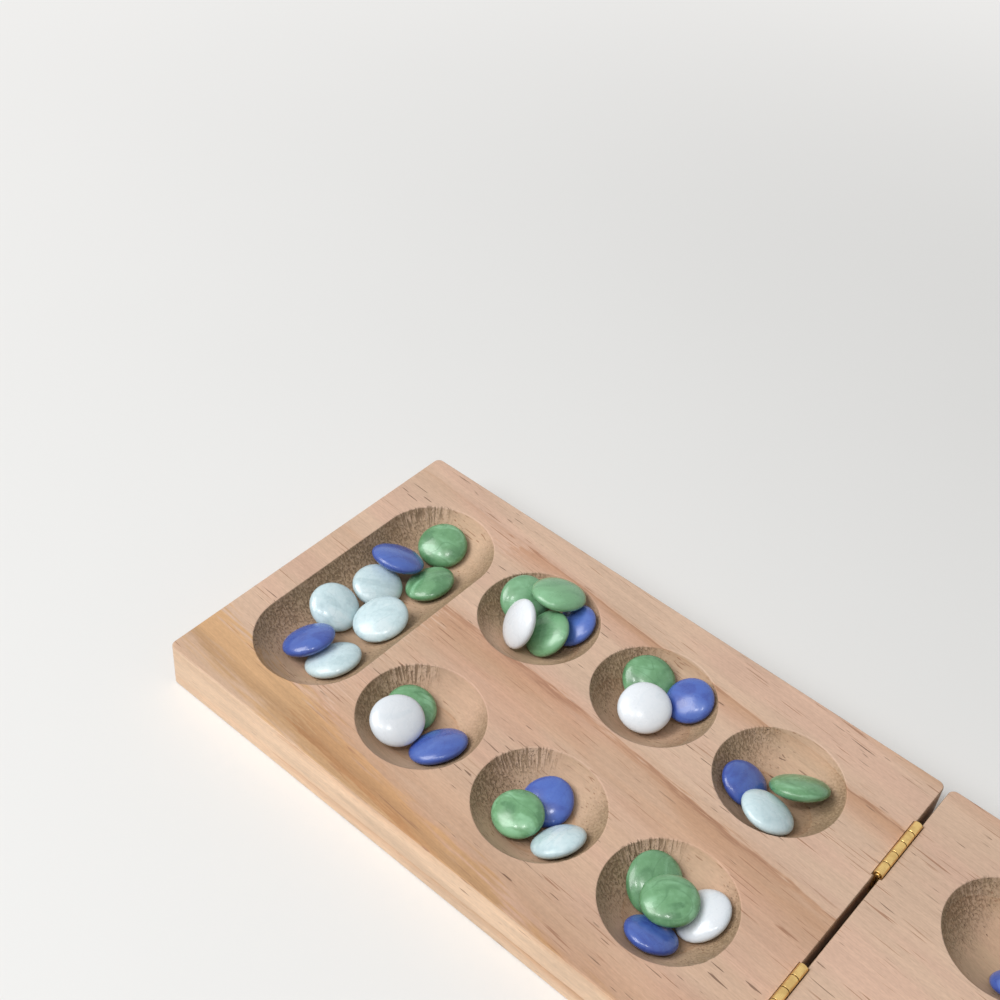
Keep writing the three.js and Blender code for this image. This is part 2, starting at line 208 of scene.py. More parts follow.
class Shader(Nodes):
    """A material under construction."""

    def __init__(self, name: str, seed: float = 0.0) -> None:
        """Start an empty material.

        Args:
            name: The material's name.
            seed: Offset that sets all its patterns apart from another material's.
        """
        self.material = bpy.data.materials.new(name)
        self.material.use_nodes = True
        super().__init__(self.material.node_tree)
        self.seed = seed
        place = self.node("ShaderNodeTexCoord")
        self.normal: NodeSocket = place.outputs["Normal"]
        self.place: NodeSocket = self.mapped(place.outputs["Object"], scale=(1 / MM, 1 / MM, 1 / MM))

    def mapped(
        self,
        vector: NodeSocket,
        scale: Sequence[float] = (1, 1, 1),
        turn: Sequence[float] = (0, 0, 0),
        move: Sequence[float] = (0, 0, 0),
    ) -> NodeSocket:
        """Scale, turn and move a coordinate, in that order.

        Args:
            vector: The coordinate.
            scale: Factor along each axis.
            turn: Rotation about each axis in radians.
            move: Offset along each axis.

        Returns:
            The new coordinate.
        """
        made = self.node("ShaderNodeMapping")
        self.join(made.inputs["Vector"], vector)
        made.inputs["Scale"].default_value = scale
        made.inputs["Rotation"].default_value = turn
        made.inputs["Location"].default_value = move
        return made.outputs["Vector"]

    def noise(self, pattern: Pattern, vector: NodeSocket | None = None) -> NodeSocket:
        """A pattern's plain noise.

        Args:
            pattern: The pattern.
            vector: The coordinate in millimetres, the object's own by default.

        Returns:
            The noise, from 0 to 1.
        """
        scale = [1 / span for span in pattern.spans]
        move = [self.seed + pattern.seed] * 3
        made = self.node("ShaderNodeTexNoise")
        self.join(made.inputs["Vector"], self.mapped(vector or self.place, scale=scale, move=move))
        made.inputs["Scale"].default_value = 1.0
        made.inputs["Detail"].default_value = pattern.detail
        made.inputs["Distortion"].default_value = pattern.swirl
        return made.outputs["Fac"]

    def swing(self, pattern: Pattern) -> NodeSocket:
        """A pattern's swing about zero."""
        return self.sum("MULTIPLY_ADD", self.noise(pattern), pattern.reach, -pattern.reach / 2)

    def pattern(self, pattern: Pattern, rarer: Value = 0.0) -> NodeSocket:
        """What a pattern gives, with its noise taken down first where it should show less."""
        return self.ranged(self.sum("SUBTRACT", self.noise(pattern), rarer), pattern.gives)

    def length(self, vector: NodeSocket) -> NodeSocket:
        """How long a vector is.

        Args:
            vector: The vector.

        Returns:
            Its length.
        """
        made = self.node("ShaderNodeVectorMath", operation="LENGTH")
        self.join(made.inputs[0], vector)
        return made.outputs["Value"]

    def ramp(self, value: NodeSocket, stops: Sequence[tuple[float, Colour]]) -> NodeSocket:
        """A colour ramp.

        Args:
            value: Where on the ramp.
            stops: Places from 0 to 1, each with its colour.

        Returns:
            The colour.
        """
        made = self.node("ShaderNodeValToRGB")
        ramp = made.color_ramp
        while len(ramp.elements) < len(stops):
            ramp.elements.new(1.0)
        for element, (position, colour) in zip(ramp.elements, stops):
            element.position = position
            element.color = (*colour, 1.0)
        self.join(made.inputs["Fac"], value)
        return made.outputs["Color"]

    def mixed(
        self, share: Value, under: Value | Colour, over: Value | Colour, blend: str = "MIX"
    ) -> NodeSocket:
        """Two colours mixed.

        Args:
            share: How much of the upper colour shows.
            under: The lower colour.
            over: The upper colour.
            blend: The blend mode.

        Returns:
            The colour.
        """
        made = self.node("ShaderNodeMix", data_type="RGBA", blend_type=blend)
        self.join(made.inputs["Factor"], share)
        colours = [socket for socket in made.inputs if socket.type == "RGBA"]
        self.join(colours[0], under)
        self.join(colours[1], over)
        return next(socket for socket in made.outputs if socket.type == "RGBA")

    def layered(
        self, colour: Value | Colour, layers: Iterable[tuple[Value, Value | Colour]]
    ) -> Value | Colour:
        """A colour with others laid over it.

        Args:
            colour: The lowest colour.
            layers: How much of each colour shows, with the colour, from below.

        Returns:
            The colour.
        """
        for share, over in layers:
            colour = self.mixed(share, colour, over)
        return colour

    def tinted(self, colour: Value | Colour, tone: Value | Colour) -> NodeSocket:
        """A colour multiplied with another, or with a plain value."""
        return self.mixed(1.0, colour, tone, blend="MULTIPLY")

    def parted(self, vector: NodeSocket) -> dict[str, NodeSocket]:
        """A vector's parts.

        Args:
            vector: The vector.

        Returns:
            Its X, Y and Z by name.
        """
        made = self.node("ShaderNodeSeparateXYZ")
        self.join(made.inputs["Vector"], vector)
        return {socket.name: socket for socket in made.outputs}

    def attribute(self, name: str, output: str = "Fac") -> NodeSocket:
        """What the piece's mesh holds under a name."""
        return self.node("ShaderNodeAttribute", attribute_name=name).outputs[output]

    def bumped(self, height: NodeSocket, depth_mm: float, under: NodeSocket | None = None) -> NodeSocket:
        """Relief on top of earlier relief.

        Args:
            height: Height from 0 to 1.
            depth_mm: How deep that range is, in millimetres.
            under: The normal of earlier relief.

        Returns:
            The new normal.
        """
        made = self.node("ShaderNodeBump")
        made.inputs["Strength"].default_value = 1.0
        made.inputs["Distance"].default_value = depth_mm * MM
        self.join(made.inputs["Height"], height)
        if under is not None:
            self.join(made.inputs["Normal"], under)
        return made.outputs["Normal"]

    def finish(self, settings: dict[str, Value | Colour]) -> Material:
        """Close the tree with a Principled shader that has the given inputs."""
        self.close(self.surface(settings))
        return self.material

    def surface(self, settings: dict[str, Value | Colour]) -> NodeSocket:
        """A Principled shader.

        Args:
            settings: Its inputs by name.

        Returns:
            Its output.
        """
        shader = self.node("ShaderNodeBsdfPrincipled")
        for key, value in settings.items():
            self.join(shader.inputs[key], value)
        return shader.outputs["BSDF"]


@dataclass(frozen=True)
class Pine:
    """Sanded pine. The heart of its trunk ran far below the plank, so its years lie nearly flat in it.

    Lengths are in millimetres. A pattern's spans lie along the fibres, across them and upwards.
    """

    name: str
    seed: float = 0.0
    early: Colour = (0.640, 0.452, 0.330)
    tan: Colour = (0.540, 0.325, 0.205)
    late: Colour = (0.330, 0.165, 0.095)
    honey: Colour = (0.585, 0.355, 0.180)
    blush: Colour = (0.660, 0.430, 0.325)
    # The long sides' colour: partly their own paler sawn grain, partly painted light that brightens them
    edge: Colour = (0.790, 0.565, 0.390)
    resin: Colour = (0.130, 0.068, 0.038)
    torn: Colour = (0.165, 0.105, 0.060)
    # The hollows' colour below the rim: partly the milled wood's own duller tone, partly painted shade
    floor_shade: Colour = (0.86, 0.84, 0.77)
    wall_shade: Colour = (0.60, 0.60, 0.52)

    # How the piece lies in the trunk, and the years seen in it
    slant: float = math.radians(4.2)
    heart_across: float = -37.4
    heart_height: float = -179.0
    year: float = 12.0
    year_shift: float = 0.27
    year_places: tuple[float, ...] = (0.0, 0.03, 0.62, 0.78, 0.86, 0.93, 0.955, 0.975)
    year_shades: tuple[float, ...] = (0.10, 0.0, 0.0, 0.28, 0.42, 0.55, 1.0, 0.12)
    tan_shade: float = 0.4
    drift: Pattern = Pattern((110, 36, 36), reach=1.6)
    teeth: Pattern = Pattern((11, 0.9, 0.9), seed=3)
    teeth_length: float = 46.0
    bold_start: float = -169.0
    bold_end: float = 30.0
    bold_fringe: float = 2.0
    patches: Pattern = Pattern((60, 14, 14), seed=5, gives=(0.32, 0.52, 0.45, 0.85))
    faint_figure: float = 0.18
    milled_figure: float = 0.4
    honey_figure: float = 0.6
    ring_figure: float = 0.6
    square_on: Change = (0.90, 0.99)

    # Streaks, fibres and dark dashes
    blushes: Pattern = Pattern((80, 16, 16), seed=1, gives=(0.42, 0.66, 0.0, 0.6))
    fibre: Pattern = Pattern((24, 0.5, 0.5), detail=3)
    fibre_light: Change = (0.2, 0.8, 0.94, 1.04)
    lights: tuple[Pattern, ...] = (
        Pattern((2.0, 0.5, 0.5), seed=8, detail=1, gives=(0.25, 0.75, 0.94, 1.045)),
        Pattern((70, 2.6, 2.6), seed=2, detail=3, gives=(0.25, 0.75, 0.93, 1.04)),
        Pattern((38, 24, 24), seed=4, gives=(0.3, 0.7, 0.95, 1.03)),
    )
    hairs: Pattern = Pattern((15, 0.55, 0.55), seed=15, detail=0, gives=(0.70, 0.78))
    hair_groups: Pattern = Pattern((45, 16, 16), seed=16, gives=(0.44, 0.56, 0.12, 0.80))
    flecks: Pattern = Pattern((9.0, 0.66, 0.66), seed=13, detail=0, gives=(0.755, 0.80))
    fleck_groups: Pattern = Pattern((40, 14, 14), seed=11, detail=1, gives=(0.44, 0.58))
    faint_flecks: Pattern = Pattern((3.2, 0.36, 0.36), seed=17, detail=0, gives=(0.76, 0.86, 0.0, 0.22))
    fleck_share: float = 0.78
    rarer_off_top: Change = (0.1, 0.5, 0.07, 0.0)

    # The yellow band near one edge, from its border outwards
    honey_border: float = -71.66
    honey_slope: float = 0.07
    honey_fringe: Change = (0.0, -5.0)
    honey_rim: Change = (-22.0, -15.0, 0.25, 1.0)
    honey_share: float = 0.92
    honey_on_ends: float = 0.2
    honey_with_flecks: float = 0.6
    honey_bands: Pattern = Pattern((90, 5, 5), seed=7, detail=1, gives=(0.30, 0.66, 0.88, 1.10))
    comb: Pattern = Pattern((15, 1.3, 1.3), seed=9, reach=17.0)
    wander: Pattern = Pattern((70, 20, 20), seed=10, reach=14.0)

    # Milled wood: by depth, by how far a wall faces along the fibres, and by its level direction
    milled_depth: Change = (0.05, 0.6)
    cut_across: Change = (0.30, 0.80)
    cut_rough: Change = (0.18, 0.70)
    calm_side: Change = (0.1, 0.5, 1.0, 0.5)
    across_fibres: Change = (0.20, 0.75)
    against_fibres: Change = (0.10, -0.30)
    towards_far: Change = (-0.2, 0.3, 0.2, 1.0)
    shade_where_torn: float = 0.55
    shade_on_ends: float = 0.45

    # Torn fibres on the walls
    tear_patches: Pattern = Pattern((13, 13, 13), seed=6, gives=(0.34, 0.50, 0.3, 1.0))
    strokes: Pattern = Pattern((0.72, 0.72, 5.0), seed=19, detail=0)
    stroke_ends: Pattern = Pattern((2.4, 2.4, 3.0), seed=21)
    ragged_foot: float = 9.0
    ragged_top: float = 1.2
    tear_foot: Change = (6.5, 10.5, 1.0, 0.08)
    tear_top: Change = (0.1, 0.9)
    fuzz: Pattern = Pattern((1.1, 0.7, 0.9), seed=23, detail=3)
    dark_stroke: Change = (0.51, 0.60)
    dark_stroke_share: float = 0.62
    pale_stroke: Change = (0.50, 0.42, 0.0, 0.75)
    dark_speck: Change = (0.50, 0.62)
    dark_speck_share: float = 0.42
    pale_speck: Change = (0.50, 0.38, 0.0, 0.36)
    speck_depth: float = 0.6

    # Relief, and how dull the surface is
    fibre_relief: float = 0.045
    fleck_relief: float = 0.08
    torn_relief: float = 0.30
    relief_of_years: float = 0.4
    dullness: Change = (0.25, 0.75, 0.50, 0.60)
    milled_dullness: float = 0.18
    refraction: float = 1.45

    def material(self) -> Material:
        """Build the wood."""
        return PineShader(self).build()

    def over_early(self, tone: Colour) -> Colour:
        """What the early wood is multiplied with to become another tone."""
        return tuple(part / whole for part, whole in zip(tone, self.early))


class PineShader(Shader):
    """The node tree of one piece of pine."""

    def __init__(self, pine: Pine) -> None:
        """Start the tree with how each point lies in the plank and in its hollow.

        Args:
            pine: The wood.
        """
        super().__init__(pine.name, pine.seed)
        self.pine = pine
        self.along = self.parted(self.place)["X"]
        self.place = self.mapped(self.place, turn=(0, 0, pine.slant))
        faces = self.parted(self.normal)
        self.facing = self.sum("ABSOLUTE", faces["X"])
        self.ends = self.ranged(self.facing, pine.square_on)
        self.sides = self.ranged(self.sum("ABSOLUTE", faces["Y"]), pine.square_on)
        self.rarer = self.ranged(faces["Z"], pine.rarer_off_top)
        self.wall = self.attribute("wall", "Vector")
        self.drop = self.parted(self.wall)["Z"]
        self.milled = self.ranged(self.drop, pine.milled_depth)

    def build(self) -> Material:
        """Join colour, relief and dullness.

        Returns:
            The finished wood.
        """
        pine = self.pine
        across, walls, torn = self._cuts()
        season = self._season()
        honey = self._honey()
        fibre = self.noise(pine.fibre)
        flecks = self.times(self._flecks(), self.less(honey, 0.0, pine.honey_with_flecks))
        colour = self._tone(season, honey, fibre)
        # Painted shade with the milled tone darkens the hollows, and walls across the fibres take the
        # end-grain tone
        for where, shade in ((self.milled, pine.floor_shade), (across, pine.wall_shade)):
            colour = self.mixed(where, colour, self.tinted(colour, shade))
        colour = self.mixed(self.times(flecks, pine.fleck_share), colour, pine.resin)
        colour, rough = self._torn(colour, walls, torn)
        height = self.added(self.times(fibre, 1.0 - pine.relief_of_years), pine.relief_of_years, season)
        relief = self.bumped(height, pine.fibre_relief)
        for sunk, depth in ((flecks, pine.fleck_relief), (rough, pine.torn_relief)):
            relief = self.bumped(self.sum("SUBTRACT", 1.0, sunk), depth, relief)
        dullness = self.added(self.ranged(fibre, pine.dullness), pine.milled_dullness, self.milled)
        return self.finish({
            "Base Color": colour,
            "Roughness": dullness,
            "IOR": pine.refraction,
            "Normal": relief,
        })

    def _season(self) -> NodeSocket:
        """How late in its year the wood grew.

        Returns:
            The season, from 0 to 1, fading out where the figure is faint.
        """
        pine = self.pine
        spoke = self.mapped(self.place, scale=(0, 1, 1), move=(0, -pine.heart_across, -pine.heart_height))
        teeth = self.swing(pine.teeth)
        radius = self.plus(self.length(spoke), self.swing(pine.drift), teeth)
        year = self.plus(self.sum("DIVIDE", radius, pine.year), pine.year_shift)
        stops = [(place, (shade, shade, shade)) for place, shade in zip(pine.year_places, pine.year_shades)]
        season = self.ramp(self.sum("FRACT", year), stops)
        where = self.added(self.along, pine.teeth_length, teeth)
        strength = self.sum("SUBTRACT", self.pattern(pine.patches), pine.faint_figure)
        for border, inwards in ((pine.bold_start, pine.bold_fringe), (pine.bold_end, -pine.bold_fringe)):
            strength = self.times(strength, self.ranged(where, (border - inwards, border + inwards)))
        strength = self.plus(strength, pine.faint_figure)
        strength = self.times(strength, self.less(self.milled, pine.milled_figure))
        strength = self.sum("MAXIMUM", strength, self.times(self.ends, pine.ring_figure))
        return self.times(season, strength)

    def _tone(self, season: NodeSocket, honey: NodeSocket, fibre: NodeSocket) -> NodeSocket:
        """The wood's colour where it is sanded flat.

        Args:
            season: How late in its year it grew.
            honey: Where it is yellow.
            fibre: Its finest streaks.

        Returns:
            The colour.
        """
        pine = self.pine
        season = self.times(season, self.less(honey, pine.honey_figure))
        stain = self.ramp(season, [
            (0.0, (1, 1, 1)),
            (pine.tan_shade, pine.over_early(pine.tan)),
            (1.0, pine.over_early(pine.late)),
        ])
        unmilled = self.sum("SUBTRACT", 1.0, self.milled)
        ground = self.layered(pine.early, (
            (self.pattern(pine.blushes), pine.blush),
            (self.times(honey, pine.honey_share), pine.honey),
            # Painted light, with the sides' own paler grain: the long sides take a paler colour
            (self.times(self.sides, unmilled), pine.edge),
        ))
        hairs = self.times(self.pattern(pine.hairs, self.rarer), self.pattern(pine.hair_groups))
        colour = self.mixed(hairs, self.tinted(ground, stain), pine.late)
        bands = self.sum("POWER", self.pattern(pine.honey_bands), honey)
        lights = [self.pattern(pattern) for pattern in pine.lights]
        return self.tinted(colour, self.times(self.ranged(fibre, pine.fibre_light), bands, *lights))

    def _honey(self) -> NodeSocket:
        """The yellow band near one edge, with a combed border.

        Returns:
            Where it lies, from 0 to 1.
        """
        pine = self.pine
        across = self.added(self.parted(self.place)["Y"], pine.honey_slope, self.along)
        across = self.plus(across, self.swing(pine.comb), self.swing(pine.wander), -pine.honey_border)
        band = self.times(self.ranged(across, pine.honey_fringe), self.ranged(across, pine.honey_rim))
        return self.times(band, self.less(self.ends, pine.honey_on_ends))

    def _cuts(self) -> tuple[NodeSocket, NodeSocket, NodeSocket]:
        """Where the cutter met the fibres.

        Returns:
            Where they are cut across, the rough milled walls, and the torn ones.
        """
        pine = self.pine
        outward = self.parted(self.attribute("outward", "Vector"))
        walls = self.times(
            self.milled, self.ranged(self.facing, pine.cut_rough), self.ranged(outward["X"], pine.calm_side)
        )
        torn = self.times(
            self.ranged(self.sum("ABSOLUTE", outward["X"]), pine.across_fibres),
            self.ranged(self.times(outward["X"], outward["Y"]), pine.against_fibres),
            self.ranged(outward["Y"], pine.towards_far),
            self.pattern(pine.tear_patches),
        )
        across = self.times(
            self.ranged(self.facing, pine.cut_across),
            self.less(torn, pine.shade_where_torn),
            self.less(self.ends, pine.shade_on_ends),
        )
        return across, walls, torn

    def _flecks(self) -> NodeSocket:
        """Short dark resin canals along the grain, from 0 to 1."""
        bold = self.times(self.pattern(self.pine.flecks, self.rarer), self.pattern(self.pine.fleck_groups))
        return self.sum("MAXIMUM", bold, self.pattern(self.pine.faint_flecks, self.rarer))

    def _torn(
        self, colour: NodeSocket, walls: NodeSocket, torn: NodeSocket
    ) -> tuple[NodeSocket, NodeSocket]:
        """Torn fibre ends down the walls of the hollows.

        Args:
            colour: The wood's colour so far.
            walls: Where it is a rough wall.
            torn: Where the wall is torn.

        Returns:
            The colour with them, and how deep they are from 0 to 1.
        """
        pine = self.pine
        strokes = self.noise(pine.strokes, self.wall)
        ends = self.noise(pine.stroke_ends, self.wall)
        fuzz = self.noise(pine.fuzz)
        foot = self.ranged(self.added(self.drop, pine.ragged_foot, ends), pine.tear_foot)
        top = self.ranged(self.added(self.drop, pine.ragged_top, ends), pine.tear_top)
        reach = self.times(foot, top, torn)
        specks = self.times(self.ranged(fuzz, pine.dark_speck), walls)
        dark = self.times(self.ranged(strokes, pine.dark_stroke), reach)
        layers = (
            (self.times(self.ranged(fuzz, pine.pale_speck), walls), pine.early),
            (self.times(specks, pine.dark_speck_share), pine.torn),
            (self.times(self.ranged(strokes, pine.pale_stroke), reach), pine.early),
            (self.times(dark, pine.dark_stroke_share), pine.torn),
        )
        return self.layered(colour, layers), self.sum("MAXIMUM", dark, self.times(specks, pine.speck_depth))


@dataclass(frozen=True)
class StoneGlass:
    """Opaque poured glass, marbled and softly glossy. Lengths are in millimetres."""

    name: str
    body: Colour
    pale: Colour
    deep: Colour
    marbling: float
    speckle: float
    drawn: Pattern = Pattern((17, 8, 5), swirl=0.9)
    pale_marble: Change = (0.50, 0.66)
    deep_marble: Change = (0.46, 0.34)
    seams: Pattern = Pattern((26, 11, 8), seed=9, detail=1, swirl=0.6)
    seam_width: float = 0.014
    seam_share: float = 0.6
    # Painted shade and dark reflection: each stone is darkened towards its deep colour at its rim
    edge_falloff: float = 2.6
    edge_share: float = 0.5
    grains: Pattern = Pattern((1.5, 1.5, 1.5), seed=7)
    pale_grain: Change = (0.50, 0.68)
    deep_grain: Change = (0.48, 0.32)
    lumps: Pattern = Pattern((6, 6, 6), seed=3, detail=1)
    lump_relief: float = 0.10
    dimples: Pattern = Pattern((0.9, 0.9, 0.9), seed=4, detail=1)
    dimple_relief: float = 0.026
    dullness: Pattern = Pattern((4, 4, 4), seed=5, gives=(0.3, 0.7, 0.24, 0.34))
    refraction: float = 1.5
    coat: float = 0.25
    coat_dullness: float = 0.12

    def material(self) -> Material:
        """Build the glass.

        Returns:
            The material.
        """
        glass = Shader(self.name)
        glass.place = glass.attribute("flow", "Vector")
        drawn = glass.noise(self.drawn)
        grains = glass.noise(self.grains)
        seam = glass.sum("ABSOLUTE", glass.swing(self.seams))
        # Painted shade and dark reflection towards each stone's rim
        edge = glass.sum("POWER", glass.attribute("edge"), self.edge_falloff)
        colour = glass.layered(self.body, (
            (glass.ranged(drawn, (*self.pale_marble, 0.0, self.marbling)), self.pale),
            (glass.ranged(drawn, (*self.deep_marble, 0.0, self.marbling)), self.deep),
            (glass.ranged(seam, (self.seam_width, 0.0, 0.0, self.seam_share * self.marbling)), self.deep),
            (glass.times(edge, self.edge_share), self.deep),
            (glass.ranged(grains, (*self.pale_grain, 0.0, self.speckle)), self.pale),
            (glass.ranged(grains, (*self.deep_grain, 0.0, self.speckle)), self.deep),
            (glass.attribute("milk"), self.pale),
        ))
        relief = glass.bumped(glass.noise(self.lumps), self.lump_relief)
        relief = glass.bumped(glass.noise(self.dimples), self.dimple_relief, relief)
        return glass.finish({
            "Base Color": glass.tinted(colour, glass.attribute("tone")),
            "Roughness": glass.pattern(self.dullness),
            "IOR": self.refraction,
            "Coat Weight": self.coat,
            "Coat Roughness": self.coat_dullness,
            "Normal": relief,
        })


@dataclass(frozen=True)
class Brass:
    """Plain pressed brass, a little dulled and scratched. Lengths are in millimetres."""

    name: str
    bright: Colour = (0.80, 0.56, 0.22)
    dull: Colour = (0.52, 0.34, 0.13)
    tarnish: Pattern = Pattern((2.6, 2.6, 2.6), detail=4, gives=(0.38, 0.68))
    tarnish_share: float = 0.6
    tarnish_dullness: float = 0.14
    scratches: Pattern = Pattern((0.12, 3.0, 0.12), seed=4)
    scratch_relief: float = 0.012
    dullness: Change = (0.3, 0.7, 0.20, 0.32)

    def material(self) -> Material:
        """Build the metal.

        Returns:
            The material.
        """
        metal = Shader(self.name)
        tarnish = metal.pattern(self.tarnish)
        scratches = metal.noise(self.scratches)
        return metal.finish({
            "Base Color": metal.mixed(metal.times(tarnish, self.tarnish_share), self.bright, self.dull),
            "Metallic": 1.0,
            "Roughness": metal.added(metal.ranged(scratches, self.dullness), self.tarnish_dullness, tarnish),
            "Normal": metal.bumped(scratches, self.scratch_relief),
        })


class Workshop:
    """Turns a bmesh into a finished piece, and pieces into other pieces."""

    smooth_angle = math.radians(34)
    merge_distance = 1e-3 * MM
    turning_steps = 40

    @staticmethod
    def piece(name: str, form: BMesh) -> Object:
        """Make an object of a bmesh.

        Args:
            name: The piece's name.
            form: Its shape, which is freed.

        Returns:
            The object, at the origin.
        """
        bmesh.ops.recalc_face_normals(form, faces=form.faces)
        data = bpy.data.meshes.new(name)
        form.to_mesh(data)
        form.free()
        made = bpy.data.objects.new(name, data)
        bpy.context.scene.collection.objects.link(made)
        return made

    @classmethod
    def cut(cls, target: Object, tools: Iterable[BMesh], operation: str = "DIFFERENCE") -> Object:
        """Cut or join closed forms with a piece, and keep the result in its mesh.

        Args:
            target: The piece.
            tools: The closed forms, which are used up.
            operation: The boolean's operation.

        Returns:
            The piece.
        """
        for number, form in enumerate(tools):
            tool = cls.piece(f"tool_{number}", form)
            boolean = target.modifiers.new("cut", "BOOLEAN")
            boolean.operation = operation
            boolean.solver = "EXACT"
            boolean.object = tool
            cls.settle(target)
            bpy.data.objects.remove(tool)
        return target

    @staticmethod
    def settle(target: Object) -> None:
        """Bake a piece's modifiers into its mesh.

        Args:
            target: The piece.
        """
        bpy.context.view_layer.update()
        graph = bpy.context.evaluated_depsgraph_get()
        baked = bpy.data.meshes.new_from_object(target.evaluated_get(graph))
        target.modifiers.clear()
        old, target.data = target.data, baked
        bpy.data.meshes.remove(old)

    @classmethod
    def dress(
        cls,
        target: Object,
        material: Material,
        side: Side,
        slot: str,
        node: str | None = None,
        flat_faces: bool = True,
    ) -> Object:
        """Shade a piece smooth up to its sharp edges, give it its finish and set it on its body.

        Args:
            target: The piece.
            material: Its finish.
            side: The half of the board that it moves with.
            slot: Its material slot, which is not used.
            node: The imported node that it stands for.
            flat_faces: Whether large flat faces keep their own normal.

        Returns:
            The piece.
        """
        mesh = target.data
        mesh.polygons.foreach_set("use_smooth", [True] * len(mesh.polygons))
        mesh.set_sharp_from_angle(angle=cls.smooth_angle)
        mesh.materials.clear()
        mesh.materials.append(material)
        if flat_faces:
            weighted = target.modifiers.new("flat_faces", "WEIGHTED_NORMAL")
            weighted.keep_sharp = True
        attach(target, side.body)
        if node:
            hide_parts(node)
        return target

    @staticmethod
    def eased(form: BMesh, edges: list[BMEdge], radius: float, segments: int) -> None:
        """Round edges of a form.

        Args:
            form: The form, which is changed.
            edges: The edges to round.
            radius: Their new radius.
            segments: Steps across each rounding.
        """
        bmesh.ops.bevel(
            form, geom=edges, offset=radius, segments=segments, profile=0.5, affect="EDGES", material=-1
        )

    @staticmethod
    def block(low: Vector, high: Vector) -> BMesh:
        """A box between two corners.

        Args:
            low: The corner with the least coordinates.
            high: The corner with the greatest.

        Returns:
            The closed form.
        """
        form = bmesh.new()
        place = Matrix.Translation((low + high) / 2) @ Matrix.Diagonal((*(high - low), 1.0))
        bmesh.ops.create_cube(form, size=1.0, matrix=place)
        return form

    @classmethod
    def turned(cls, outline: Outline, place: Matrix, steps: int = turning_steps) -> BMesh:
        """A turned form.

        Args:
            outline: Its outline, from the axis out and back to it.
            place: Where the turning axis, the local Z, comes to lie.
            steps: Steps in the full turn.

        Returns:
            The closed form.
        """
        form = bmesh.new()
        points = [form.verts.new((radius, 0.0, height)) for radius, height in outline]
        edges = [form.edges.new(pair) for pair in zip(points, points[1:])]
        bmesh.ops.spin(
            form, geom=points + edges, axis=(0, 0, 1), cent=(0, 0, 0),
            angle=math.tau, steps=steps, use_merge=True,
        )
        bmesh.ops.remove_doubles(form, verts=form.verts, dist=cls.merge_distance)
        bmesh.ops.recalc_face_normals(form, faces=form.faces)
        bmesh.ops.transform(form, matrix=place, verts=form.verts)
        return form

    @classmethod
    def spindle(cls, upper: Outline, place: Matrix, steps: int = turning_steps) -> BMesh:
        """A turned form whose lower half mirrors the given upper one."""
        lower = [(radius, -height) for radius, height in reversed(upper)]
        return cls.turned([*lower, *upper], place, steps)


def fraction(value: float, start: float, end: float) -> float:
    """How far a value has come from a start to an end, from 0 to 1."""
    return min(max((value - start) / (end - start), 0.0), 1.0)


@dataclass(frozen=True)
class Hollow:
    """One pit or store: a ball's cap, drawn out across the board where it is a store."""

    x: float
    y: float
    rim_radius: float
    depth: float
    half_straight: float = 0.0
    roughness: float = 1.0
    easing: float = 0.55 * MM
    lip: float = 1.5 * MM
    arc_steps: int = 5
    bowl_steps: int = 34

    @property
    def ball_radius(self) -> float:
        """The radius of the ball whose cap the hollow is."""
        return (self.rim_radius**2 + self.depth**2) / (2 * self.depth)

    @property
    def opening_radius(self) -> float:
        """Where the eased rim meets the flat top."""
        reach = self.ball_radius + self.easing
        return math.sqrt(reach**2 - (reach - self.depth) ** 2)

    def spoke(self, point: Vector) -> tuple[Vector, Vector]:
        """The way out to a point from the hollow's middle line.

        Args:
            point: The point.

        Returns:
            The line's nearest place, and the way from there, both level.
        """
        reach = self.half_straight
        anchor = Vector((self.x, self.y + max(-reach, min(reach, point.y - self.y))))
        return anchor, point.to_2d() - anchor

    def rim_profile(self, top: float) -> list[Vector]:
        """Radius and height down the wall, from a flat lip over the eased rim to the floor.

        Args:
            top: Height of the board's top face.

        Returns:
            The points, as (radius, height).
        """
        ball, reach, easing = self.ball_radius, self.opening_radius, self.easing
        floor, start = top - self.depth, math.asin(reach / (ball + easing))
        rim = [start * step / self.arc_steps for step in range(self.arc_steps + 1)]
        bowl = [start * (1 - step / self.bowl_steps) for step in range(1, self.bowl_steps)]
        return [
            Vector((reach + self.lip, top)),
            *(Vector((reach - easing * math.sin(turn), top - easing * (1 - math.cos(turn)))) for turn in rim),
            *(Vector((ball * math.sin(turn), floor + ball * (1 - math.cos(turn)))) for turn in bowl),
        ]


